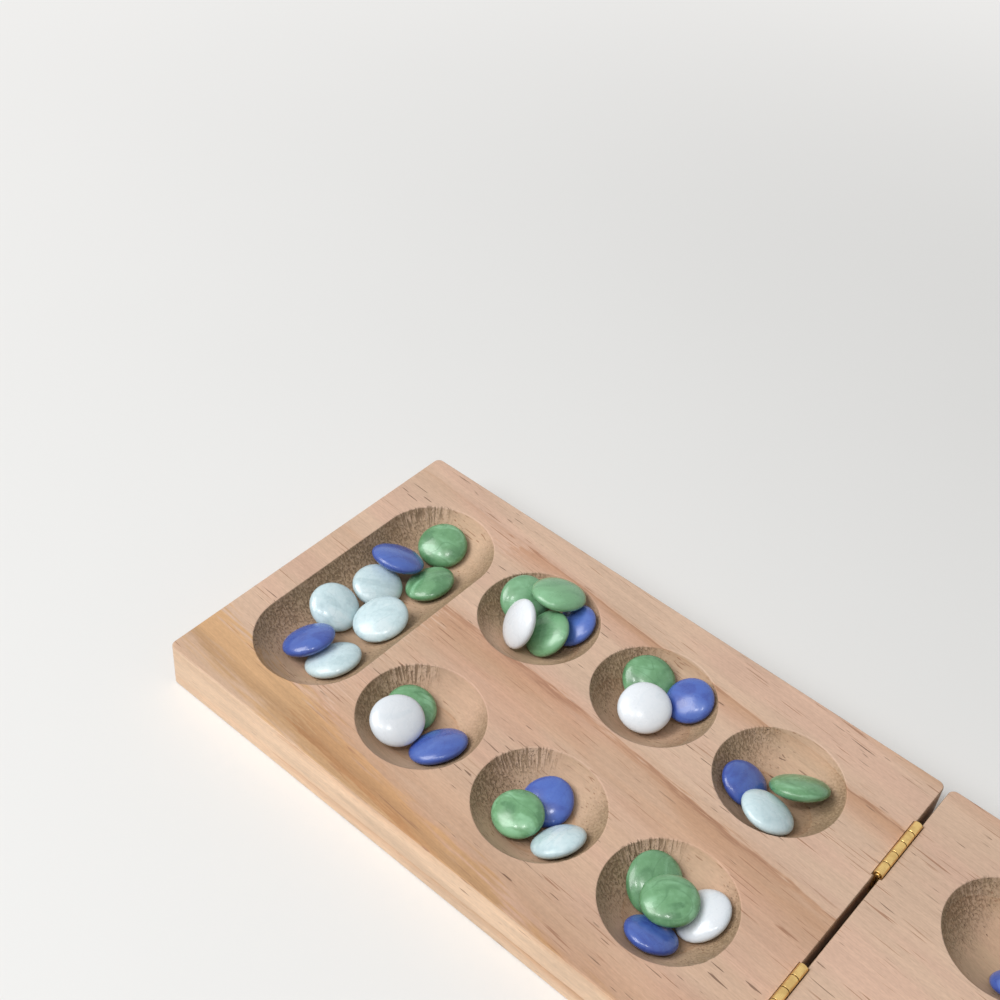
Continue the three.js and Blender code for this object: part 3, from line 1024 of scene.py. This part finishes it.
@dataclass
class BoardHalf:
    """One half of the board: a sanded plank with six pits and a store milled into its top."""

    side: Side
    finish: Pine
    slot: str = "pine_wood"
    upright_radius: float = 2.4 * MM
    edge_easing: float = 0.45 * MM
    border: float = 1.5 * MM
    pit_rim_radius: float = 21.6 * MM
    pit_depth: float = 12.0 * MM
    pit_pitch: float = 49.75 * MM
    pit_row_spacing: float = 60.0 * MM
    seam_to_pit: float = 40.5 * MM
    pits_per_row: int = 3
    store_rim_radius: float = 21.4 * MM
    store_depth: float = 12.0 * MM
    store_straight: float = 59.2 * MM
    end_to_store: float = 32.0 * MM
    notch_radius: float = 1.9 * MM
    notch_length: float = 26.6 * MM
    rim_segments: int = 192
    straight_cuts: int = 56
    corner_steps: int = 10
    edge_steps: int = 4
    torn_depth: float = 0.35 * MM
    far_row_roughness: float = 0.62
    least_upward: float = 0.3
    slack: float = 0.01 * MM
    outside_mark: Vector = field(default_factory=lambda: Vector((0, 0, -9)))
    stroke_width_mm: float = 1.2
    stroke_length_mm: float = 6.0
    tear_start_mm: float = 0.1
    tear_end_mm: float = 9.0

    @property
    def node(self) -> str:
        """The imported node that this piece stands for."""
        return f"{self.side.word}_half"

    @property
    def top(self) -> float:
        """The height of the top face."""
        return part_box(self.node)[1].z

    def hollows(self) -> list[Hollow]:
        """The hollows of this half.

        Returns:
            The store, then the pits.
        """
        low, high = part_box(self.node)
        sign = self.side.value
        seam, end = (low.x, high.x) if self.side is Side.RIGHT else (high.x, low.x)
        middle = end - sign * self.end_to_store
        store = Hollow(middle, 0.0, self.store_rim_radius, self.store_depth, self.store_straight / 2)
        pits = [
            Hollow(
                seam + sign * (self.seam_to_pit + place * self.pit_pitch),
                row * self.pit_row_spacing / 2,
                self.pit_rim_radius,
                self.pit_depth,
                roughness=self.far_row_roughness if row > 0 else 1.0,
            )
            for place in range(self.pits_per_row)
            for row in (-1, 1)
        ]
        return [store, *pits]

    def build(self, hinge_lines: Sequence[Vector]) -> Object:
        """Model the half and dress it.

        Args:
            hinge_lines: The middle of each hinge's barrel.

        Returns:
            The finished piece.
        """
        form = self._plank()
        self._mill(form)
        made = Workshop.piece(f"{self.side.word}_board_half", form)
        Workshop.cut(made, [self._notch(line) for line in hinge_lines])
        self._tear(made.data)
        return Workshop.dress(made, self.finish.material(), self.side, self.slot, self.node)

    def _plank(self) -> BMesh:
        """The plank, its upright corners rounded and all its edges eased.

        Returns:
            The closed form.
        """
        form = Workshop.block(*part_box(self.node))
        upright = [edge for edge in form.edges if self._rise(edge) > self.edge_easing]
        Workshop.eased(form, upright, self.upright_radius, self.corner_steps)
        level = [edge for edge in form.edges if self._rise(edge) < self.edge_easing]
        Workshop.eased(form, level, self.edge_easing, self.edge_steps)
        return form

    @staticmethod
    def _rise(edge: BMEdge) -> float:
        """How far an edge climbs."""
        start, end = edge.verts
        return abs(start.co.z - end.co.z)

    def _mill(self, form: BMesh) -> None:
        """Open the top face round each hollow and draw the walls down from the openings.

        Args:
            form: The plank, which is changed.
        """
        lid = max(form.faces, key=lambda face: (face.calc_center_median().z, face.calc_area()))
        bmesh.ops.inset_region(form, faces=[lid], thickness=self.border, use_even_offset=True)
        border = list(lid.edges)
        bmesh.ops.delete(form, geom=[lid], context="FACES_ONLY")
        rims = []
        for hollow in self.hollows():
            profile = hollow.rim_profile(self.top)
            rim = self._opening(form, hollow, profile[0])
            rims.extend(rim)
            self._draw_down(form, hollow, rim, profile)
        bmesh.ops.triangle_fill(
            form, use_beauty=True, use_dissolve=False, edges=border + rims, normal=(0, 0, 1)
        )

    def _opening(self, form: BMesh, hollow: Hollow, start: Vector) -> list[BMEdge]:
        """The loop of edges where one hollow opens the top face.

        Args:
            form: The plank.
            hollow: The hollow.
            start: Radius and height of the loop.

        Returns:
            The edges.
        """
        half_step = Matrix.Rotation(math.pi / self.rim_segments, 4, "Z")
        place = Matrix.Translation((hollow.x, hollow.y, start.y)) @ half_step
        ring = bmesh.ops.create_circle(
            form, cap_ends=False, segments=self.rim_segments, radius=start.x, matrix=place
        )
        points = ring["verts"]
        edges = list(dict.fromkeys(edge for point in points for edge in point.link_edges))
        if not hollow.half_straight:
            return edges
        for sign in (-1, 1):
            end = [point for point in points if sign * (point.co.y - hollow.y) > 0]
            bmesh.ops.translate(form, verts=end, vec=(0, sign * hollow.half_straight, 0))
        straight = [edge for edge in edges if edge.calc_length() > hollow.half_straight]
        cut = bmesh.ops.subdivide_edges(form, edges=straight, cuts=self.straight_cuts)
        added = [item for item in cut["geom_split"] if isinstance(item, BMEdge)]
        return list(dict.fromkeys([*edges, *added]))

    @staticmethod
    def _draw_down(form: BMesh, hollow: Hollow, rim: list[BMEdge], profile: list[Vector]) -> None:
        """Extrude one opening ring by ring down its wall and close the floor.

        Args:
            form: The plank.
            hollow: The hollow.
            rim: The opening's edges.
            profile: Radius and height of each ring.
        """
        edges = rim
        for last, this in zip(profile, profile[1:]):
            grown = bmesh.ops.extrude_edge_only(form, edges=edges)["geom"]
            points = {item for item in grown if isinstance(item, BMVert)}
            edges = [item for item in grown if isinstance(item, BMEdge) and points.issuperset(item.verts)]
            for point in points:
                anchor, spoke = hollow.spoke(point.co)
                spoke *= this.x / last.x
                point.co = (anchor.x + spoke.x, anchor.y + spoke.y, this.y)
        bmesh.ops.edgeloop_fill(form, edges=edges)

    def _tear(self, data: Mesh) -> None:
        """Press torn end grain into the walls that cut across the fibres, and note where their points lie.

        Args:
            data: The half's mesh, which is changed and gets the attributes that the finish reads.
        """
        top, hollows = self.top, self.hollows()
        form = bmesh.new()
        form.from_mesh(data)
        form.normal_update()
        wall = form.verts.layers.float_vector.new("wall")
        outward = form.verts.layers.float_vector.new("outward")
        moves = []
        for point in form.verts:
            point[wall] = self.outside_mark
            hollow = min(hollows, key=lambda item: item.spoke(point.co)[1].length)
            anchor, spoke = hollow.spoke(point.co)
            outside = spoke.length - hollow.opening_radius
            if point.normal.z < self.least_upward or outside > hollow.lip + self.slack:
                continue
            drop = -outside if outside > 0 else top - point.co.z
            away = spoke.normalized()
            rim = (anchor + away * hollow.rim_radius) / MM
            away *= hollow.roughness
            point[wall] = Vector((rim.x, rim.y, drop / MM))
            point[outward] = away.to_3d()
            moves.append((point, -self.torn_depth * self._tornness(rim, drop / MM, away)))
        for point, step in moves:
            point.co += point.normal * step
        form.to_mesh(data)
        form.free()

    def _tornness(self, rim: Vector, drop: float, away: Vector) -> float:
        """How deep the wood is torn at one point of a wall, from 0 to 1.

        Args:
            rim: The rim's nearest place in millimetres.
            drop: How far below it the point lies, in millimetres.
            away: The level direction out of the hollow, as long as the hollow is rough.

        Returns:
            The depth.
        """
        wide, long = self.stroke_width_mm, self.stroke_length_mm
        stroke = noise.noise(Vector((rim.x / wide, rim.y / wide, drop / long + self.finish.seed)))
        fade = fraction(drop, self.tear_end_mm, 0.0) * fraction(drop, 0.0, self.tear_start_mm)
        across = fraction(abs(away.x), *self.finish.across_fibres)
        against = fraction(away.x * away.y, *self.finish.against_fibres)
        return across * against * fade * max(-stroke, 0.0)

    def _notch(self, line: Vector) -> BMesh:
        """The cutter of the rounded notch for one hinge's barrel.

        Args:
            line: The middle of the barrel.

        Returns:
            The closed form.
        """
        lying = Matrix.Translation(line) @ Matrix.Rotation(math.pi / 2, 4, "X")
        half = self.notch_length / 2
        return Workshop.spindle([(self.notch_radius, half), (0.0, half)], lying)


@dataclass
class ButtHinge:
    """A small brass butt hinge: two leaves with knuckles, a pin and four screws."""

    name: str
    finish: Material
    slot: str = "hinge_brass"
    barrel_radius: float = 1.6 * MM
    bore_radius: float = 0.95 * MM
    leaf_thickness: float = 0.85 * MM
    knuckle_count: int = 5
    knuckle_gap: float = 0.3 * MM
    barrel_clearance: float = 0.3 * MM
    corner_radius: float = 1.0 * MM
    corner_steps: int = 6
    chamfer: float = 0.12 * MM
    dome_height: float = 0.24 * MM
    dome_turns: tuple[float, ...] = (0.0, 0.35, 0.75, 1.2)
    pin_steps: int = 28
    screw_pitch: float = 15.0 * MM
    screw_drop: float = 7.2 * MM
    screw_steps: int = 36
    hole_radius: float = 1.1 * MM
    head_radius: float = 1.8 * MM
    head_clearance: float = 0.08 * MM
    head_seat: float = 0.05 * MM
    head_easing: float = 0.1 * MM
    head_easing_drop: float = 0.04 * MM
    head_crown: float = 0.02 * MM
    shank_radius: float = 1.0 * MM
    shank_length: float = 9.0 * MM
    taper_length: float = 3.0 * MM
    tip_radius: float = 0.35 * MM
    tip_length: float = 0.8 * MM
    slot_width: float = 0.42 * MM
    slot_depth: float = 0.38 * MM
    overshoot: float = 1.0 * MM
    turns: random.Random = field(default_factory=lambda: random.Random(7))

    @property
    def axis(self) -> Vector:
        """The middle of the pin."""
        low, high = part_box(f"{self.name}_pin")
        return (low + high) / 2

    @property
    def length(self) -> float:
        """The length of the hinge along its pin."""
        low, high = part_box(f"{self.name}_left_leaf")
        return high.y - low.y

    @property
    def sink(self) -> float:
        """How deep a screw's head is let into its leaf."""
        return self.leaf_thickness - self.chamfer

    @property
    def screw_places(self) -> tuple[float, float]:
        """Where each leaf's screws sit along the pin, from its middle."""
        return -self.screw_pitch / 2, self.screw_pitch / 2

    def build(self) -> list[Object]:
        """Model and dress the whole hinge.

        Returns:
            The pin, then each leaf with its screws.
        """
        made = [self._pin()]
        for side in Side:
            made.append(self._leaf(side))
            for number, y in enumerate(self.screw_places, start=1):
                made.append(self._screw(side, number, y))
        return made

    def _lying(self, y: float = 0.0) -> Matrix:
        """Turns a form's Z to lie along the pin, at a distance from its middle."""
        place = self.axis + Vector((0, y, 0))
        return Matrix.Translation(place) @ Matrix.Rotation(-math.pi / 2, 4, "X")

    def _faces_x(self, side: Side) -> tuple[float, float]:
        """Where a leaf meets the wood, and where its open face lies."""
        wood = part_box(f"{side.word}_half")[0 if side is Side.RIGHT else 1].x
        return wood, wood - side.value * self.leaf_thickness

    def _facing(self, side: Side, y: float) -> Matrix:
        """Turns a form's Z to point out of a leaf's open face, at one screw."""
        place = Vector((self._faces_x(side)[1], self.axis.y + y, self.axis.z - self.screw_drop))
        return Matrix.Translation(place) @ Matrix.Rotation(-side.value * math.pi / 2, 4, "Y")

    def _pin(self) -> Object:
        """The pin, its ends domed by the hammer.

        Returns:
            The finished piece.
        """
        node = f"{self.name}_pin"
        low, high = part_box(node)
        radius, half = (high.z - low.z) / 2, (high.y - low.y) / 2
        dome = [
            (radius * math.cos(turn), half - self.dome_height * (1 - math.sin(turn)))
            for turn in self.dome_turns
        ]
        form = Workshop.spindle([*dome, (0.0, half)], self._lying(), self.pin_steps)
        made = Workshop.piece(f"{node}_domed", form)
        return Workshop.dress(made, self.finish, Side.LEFT, self.slot, node)

    def _leaf(self, side: Side) -> Object:
        """One leaf, with its plate, its rolled knuckles and its countersunk holes.

        Args:
            side: The half of the board that it's screwed to.

        Returns:
            The finished piece.
        """
        node = f"{self.name}_{side.word}_leaf"
        low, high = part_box(node)
        x0, x1 = sorted(self._faces_x(side))
        plate_top = self.axis.z - self.barrel_radius - self.barrel_clearance
        plate = Workshop.block(Vector((x0, low.y, low.z)), Vector((x1, high.y, plate_top)))
        lower = [
            edge for edge in plate.edges
            if abs(edge.verts[0].co.x - edge.verts[1].co.x) > self.leaf_thickness / 2
            and edge.verts[0].co.z < plate_top - self.corner_radius
        ]
        Workshop.eased(plate, lower, self.corner_radius, self.corner_steps)
        made = Workshop.piece(f"{node}_pressed", plate)
        knuckle = (self.length - (self.knuckle_count - 1) * self.knuckle_gap) / self.knuckle_count
        for place in range(0 if side is Side.LEFT else 1, self.knuckle_count, 2):
            y0 = self.axis.y - self.length / 2 + place * (knuckle + self.knuckle_gap)
            web = Workshop.block(
                Vector((x0, y0, plate_top - self.leaf_thickness)), Vector((x1, y0 + knuckle, self.axis.z))
            )
            Workshop.cut(made, [web, self._barrel(y0 + knuckle / 2 - self.axis.y, knuckle)], "UNION")
        bore = Workshop.spindle([(self.bore_radius, self.length), (0.0, self.length)], self._lying())
        Workshop.cut(made, [bore, *(self._sunk_hole(side, y) for y in self.screw_places)])
        return Workshop.dress(made, self.finish, side, self.slot, node)

    def _barrel(self, y: float, length: float) -> BMesh:
        """One solid knuckle, its ends slightly rounded, at a distance along the pin from its middle."""
        half, radius, ease = length / 2, self.barrel_radius, self.chamfer
        return Workshop.spindle([(radius, half - ease), (radius - ease, half), (0.0, half)], self._lying(y))

    def _sunk_hole(self, side: Side, y: float) -> BMesh:
        """The cutter of a countersunk hole.

        Args:
            side: The leaf's side.
            y: The screw's place along the pin.

        Returns:
            The closed form.
        """
        sink_radius = self.head_radius + self.head_clearance
        bottom = -self.leaf_thickness - self.overshoot
        profile = [
            (0.0, bottom),
            (self.hole_radius, bottom),
            (self.hole_radius, -self.sink),
            (sink_radius, -self.chamfer),
            (sink_radius, self.overshoot),
            (0.0, self.overshoot),
        ]
        return Workshop.turned(profile, self._facing(side, y))

    def _screw(self, side: Side, number: int, y: float) -> Object:
        """One countersunk screw, its slot turned to where it was driven home.

        Args:
            side: The leaf's side.
            number: The screw's number in that leaf.
            y: Its place along the pin.

        Returns:
            The finished piece.
        """
        tip = -self.shank_length
        profile = [
            (0.0, tip),
            (self.tip_radius, tip + self.tip_length),
            (self.shank_radius, tip + self.taper_length),
            (self.shank_radius, -self.sink),
            (self.head_radius, -self.chamfer - self.head_seat),
            (self.head_radius, -self.head_easing_drop),
            (self.head_radius - self.head_easing, 0.0),
            (0.0, self.head_crown),
        ]
        place = self._facing(side, y)
        form = Workshop.turned(profile, place, self.screw_steps)
        made = Workshop.piece(f"{self.name}_{side.word}_screw_{number}", form)
        reach, half = self.head_radius + self.overshoot, self.slot_width / 2
        groove = Workshop.block(
            Vector((-reach, -half, -self.slot_depth)), Vector((reach, half, self.overshoot))
        )
        turn = Matrix.Rotation(self.turns.uniform(0, math.pi), 4, "Z")
        bmesh.ops.transform(groove, matrix=place @ turn, verts=groove.verts)
        Workshop.cut(made, [groove])
        return Workshop.dress(made, self.finish, side, self.slot)


@dataclass
class Stones:
    """The glass stones, each one where its solid lies."""

    finishes: dict[str, Material]
    lump_height: float = 0.45 * MM
    lump_span: float = 12.0 * MM
    milky_pit: str = "left_far_1"
    milkiness: float = 0.35
    darkest: float = 0.95
    lightest: float = 1.07
    pattern_reach: float = 500.0
    lump_middle: float = 0.6
    fineness: int = 4
    chance: random.Random = field(default_factory=lambda: random.Random(48))

    def build(self) -> list[Object]:
        """Model and dress every stone.

        Returns:
            The finished pieces.
        """
        slots = {part["node"]: part["material_slot"] for part in frame["record"]["subparts"]}
        made = []
        for side in Side:
            for node in frame["record"]["behaviour"]["bodies"][side.body]:
                if node.startswith("stone_"):
                    made.append(self._stone(node, slots[node], side))
        return made

    def _stone(self, node: str, slot: str, side: Side) -> Object:
        """One smooth stone, gently uneven as poured glass is.

        Args:
            node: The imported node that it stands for.
            slot: Its material slot.
            side: The half of the board that it lies on.

        Returns:
            The finished piece.
        """
        form = bmesh.new()
        bmesh.ops.create_icosphere(form, subdivisions=self.fineness, radius=1.0)
        place, half_axes = self._attitude(node)
        flow = form.verts.layers.float_vector.new("flow")
        edge, tone, milk = (form.verts.layers.float.new(name) for name in ("edge", "tone", "milk"))
        offset = Vector([self.chance.uniform(-self.pattern_reach, self.pattern_reach) for _ in range(3)])
        shade = self.chance.uniform(self.darkest, self.lightest)
        milkiness = self.milkiness if self.milky_pit in node else 0.0
        for point in form.verts:
            inner = Vector([share * half for share, half in zip(point.co, half_axes)])
            point[flow] = inner / MM + offset
            # Nearness to the stone's rim, where its glass paints shade and dark reflection
            point[edge] = 1.0 - abs(point.co.z)
            point[tone] = shade
            point[milk] = milkiness
            lump = noise.noise((inner + offset) / self.lump_span) - self.lump_middle
            point.co *= 1.0 + self.lump_height / half_axes[0] * lump
        bmesh.ops.transform(form, matrix=place, verts=form.verts)
        made = Workshop.piece(f"glass_{node}", form)
        return Workshop.dress(made, self.finishes[slot], side, slot, node, flat_faces=False)

    @staticmethod
    def _attitude(node: str) -> tuple[Matrix, list[float]]:
        """How a stone lies, by the ellipsoid through the corners of its node.

        Args:
            node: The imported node.

        Returns:
            The matrix that turns a unit ball into the ellipsoid, and its half axes.
        """
        low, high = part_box(node)
        centre = (low + high) / 2
        corners = np.array([point.co - centre for point in frame["nodes"][node].data.vertices])
        x, y, z = corners.T
        terms = np.stack([x * x, y * y, z * z, 2 * x * y, 2 * x * z, 2 * y * z], axis=1)
        xx, yy, zz, xy, xz, yz = np.linalg.lstsq(terms, np.ones(len(terms)), rcond=None)[0]
        curvature, directions = np.linalg.eigh([[xx, xy, xz], [xy, yy, yz], [xz, yz, zz]])
        if np.linalg.det(directions) < 0:
            directions[:, 0] *= -1
        half_axes = 1 / np.sqrt(curvature)
        stretch = Matrix((directions @ np.diag(half_axes)).tolist()).to_4x4()
        return Matrix.Translation(centre) @ stretch, half_axes.tolist()


@dataclass(frozen=True)
class Lamp:
    """A square soft lamp: where it hangs, its side in metres and its power in watts."""

    name: str
    place: tuple[float, float, float]
    size: float
    power: float


@dataclass
class Studio:
    """The camera at the picture's viewing angle, a pale floor and soft light."""

    camera_at: Vector = field(default_factory=lambda: Vector((61.0, -270.6, 408.5)) * MM)
    azimuth: float = math.radians(36.7)
    elevation: float = math.radians(42.98)
    roll: float = math.radians(5.87)
    focal_pixels: float = 1532.1
    frame_pixels: float = 1000.0
    sensor_mm: float = 36.0
    nearest: float = 0.01
    lamps: tuple[Lamp, ...] = (
        Lamp("window", (-1.15, -1.10, 1.60), size=1.30, power=38.0),
        Lamp("ceiling_left", (-0.13, -0.70, 1.20), size=0.13, power=2.0),
        Lamp("ceiling_right", (0.19, -0.46, 1.20), size=0.13, power=2.0),
    )
    lamp_aim: Vector = field(default_factory=lambda: Vector((-0.08, 0.0, 0.0)))
    floor_size: float = 6.0
    floor_gap: float = 0.2 * MM
    floor_colour: Colour = (0.80, 0.80, 0.79)
    floor_dullness: float = 0.85
    floor_mottle: Pattern = Pattern((240, 240, 240), detail=3, gives=(0.3, 0.7, 0.985, 1.0))
    floor_fade: Change = (260.0, 900.0)
    sky_colour: Colour = (1.0, 0.99, 0.975)
    sky_light: float = 0.30
    sky_seen: float = 0.90

    def build(self) -> None:
        """Set up everything that isn't the object."""
        self._camera()
        self._floor()
        self._world()
        for lamp in self.lamps:
            self._lamp(lamp)
        bpy.context.scene.view_settings.view_transform = "Standard"

    def _camera(self) -> None:
        """The camera, turned by azimuth, elevation and roll."""
        turn = (
            Matrix.Rotation(self.azimuth, 4, "Z")
            @ Matrix.Rotation(math.pi / 2 - self.elevation, 4, "X")
            @ Matrix.Rotation(self.roll, 4, "Z")
        )
        data = bpy.data.cameras.new("camera")
        data.sensor_width = self.sensor_mm
        data.lens = self.focal_pixels / self.frame_pixels * self.sensor_mm
        data.clip_start = self.nearest
        bpy.context.scene.camera = self._placed(data, self.camera_at, turn)

    def _floor(self) -> None:
        """A plain pale floor under the board, which fades into the sky some way off."""
        form = bmesh.new()
        below = Matrix.Translation((0, 0, -self.floor_gap))
        bmesh.ops.create_grid(form, x_segments=1, y_segments=1, size=self.floor_size / 2, matrix=below)
        floor = Workshop.piece("floor", form)
        shader = Shader("floor")
        colour = shader.tinted(self.floor_colour, shader.pattern(self.floor_mottle))
        away = shader.ranged(shader.length(shader.place), self.floor_fade)
        sky = shader.node("ShaderNodeEmission")
        shader.join(sky.inputs["Color"], self.sky_colour)
        shader.join(sky.inputs["Strength"], self.sky_seen)
        blend = shader.node("ShaderNodeMixShader")
        shader.join(blend.inputs["Fac"], shader.times(shader.seen(), away))
        shader.join(blend.inputs[1], shader.surface({"Base Color": colour, "Roughness": self.floor_dullness}))
        shader.join(blend.inputs[2], sky.outputs["Emission"])
        shader.close(blend.outputs["Shader"])
        floor.data.materials.append(shader.material)

    def _world(self) -> None:
        """A soft even sky that shows nearly white to the camera and in reflections."""
        world = bpy.data.worlds.new("world")
        bpy.context.scene.world = world
        world.use_nodes = True
        nodes = Nodes(world.node_tree)
        light = nodes.node("ShaderNodeBackground")
        nodes.join(light.inputs["Color"], self.sky_colour)
        strength = nodes.ranged(nodes.seen(), (0.0, 1.0, self.sky_light, self.sky_seen))
        nodes.join(light.inputs["Strength"], strength)
        nodes.close(light.outputs["Background"], "ShaderNodeOutputWorld")

    def _lamp(self, lamp: Lamp) -> None:
        """Hang one lamp so that it looks at the left half.

        Args:
            lamp: The lamp.
        """
        data = bpy.data.lights.new(lamp.name, "AREA")
        data.size = lamp.size
        data.energy = lamp.power
        place = Vector(lamp.place)
        turn = (self.lamp_aim - place).to_track_quat("-Z", "Y").to_matrix().to_4x4()
        self._placed(data, place, turn)

    @staticmethod
    def _placed(data: Camera | Light, place: Vector, turn: Matrix) -> Object:
        """Set a camera or a lamp in the scene, named as its data.

        Args:
            data: The camera or the lamp.
            place: Where it hangs.
            turn: How it is turned from looking straight down.

        Returns:
            Its object.
        """
        made = bpy.data.objects.new(data.name, data)
        made.matrix_world = Matrix.Translation(place) @ turn
        bpy.context.scene.collection.objects.link(made)
        return made


def stone_finishes() -> dict[str, Material]:
    """The stones' four glasses.

    Returns:
        Each material by its slot.
    """
    glasses = (
        StoneGlass(
            "green_glass",
            body=(0.140, 0.325, 0.155),
            pale=(0.275, 0.545, 0.320),
            deep=(0.065, 0.190, 0.080),
            marbling=0.75,
            speckle=0.14,
        ),
        StoneGlass(
            "blue_glass",
            body=(0.064, 0.130, 0.460),
            pale=(0.100, 0.190, 0.550),
            deep=(0.032, 0.055, 0.290),
            marbling=0.50,
            speckle=0.12,
        ),
        StoneGlass(
            "pale_glass",
            body=(0.590, 0.745, 0.785),
            pale=(0.740, 0.835, 0.860),
            deep=(0.390, 0.530, 0.570),
            marbling=0.45,
            speckle=0.22,
        ),
        StoneGlass(
            "white_glass",
            body=(0.760, 0.800, 0.845),
            pale=(0.790, 0.825, 0.855),
            deep=(0.580, 0.670, 0.730),
            marbling=0.20,
            speckle=0.14,
        ),
    )
    return {glass.name: glass.material() for glass in glasses}


def main() -> None:
    """Build the board around its frame, piece by piece."""
    logging.basicConfig(level=logging.INFO, format="%(name)s: %(message)s")
    Studio().build()
    brass = Brass("hinge_brass").material()
    hinges = [ButtHinge("near_hinge", brass), ButtHinge("far_hinge", brass)]
    hinge_lines = [hinge.axis for hinge in hinges]
    left = Pine("pine_left")
    right = Pine(
        "pine_right",
        seed=31.0,
        heart_across=12.0,
        heart_height=-160.0,
        bold_start=-30.0,
        bold_end=150.0,
        honey_border=-52.2,
    )
    pieces = [BoardHalf(Side.LEFT, left).build(hinge_lines), BoardHalf(Side.RIGHT, right).build(hinge_lines)]
    for hinge in hinges:
        pieces.extend(hinge.build())
    pieces.extend(Stones(stone_finishes()).build())
    for piece in pieces:
        log.info("%s: %d faces", piece.name, len(piece.data.polygons))


if __name__ == "__main__":
    main()
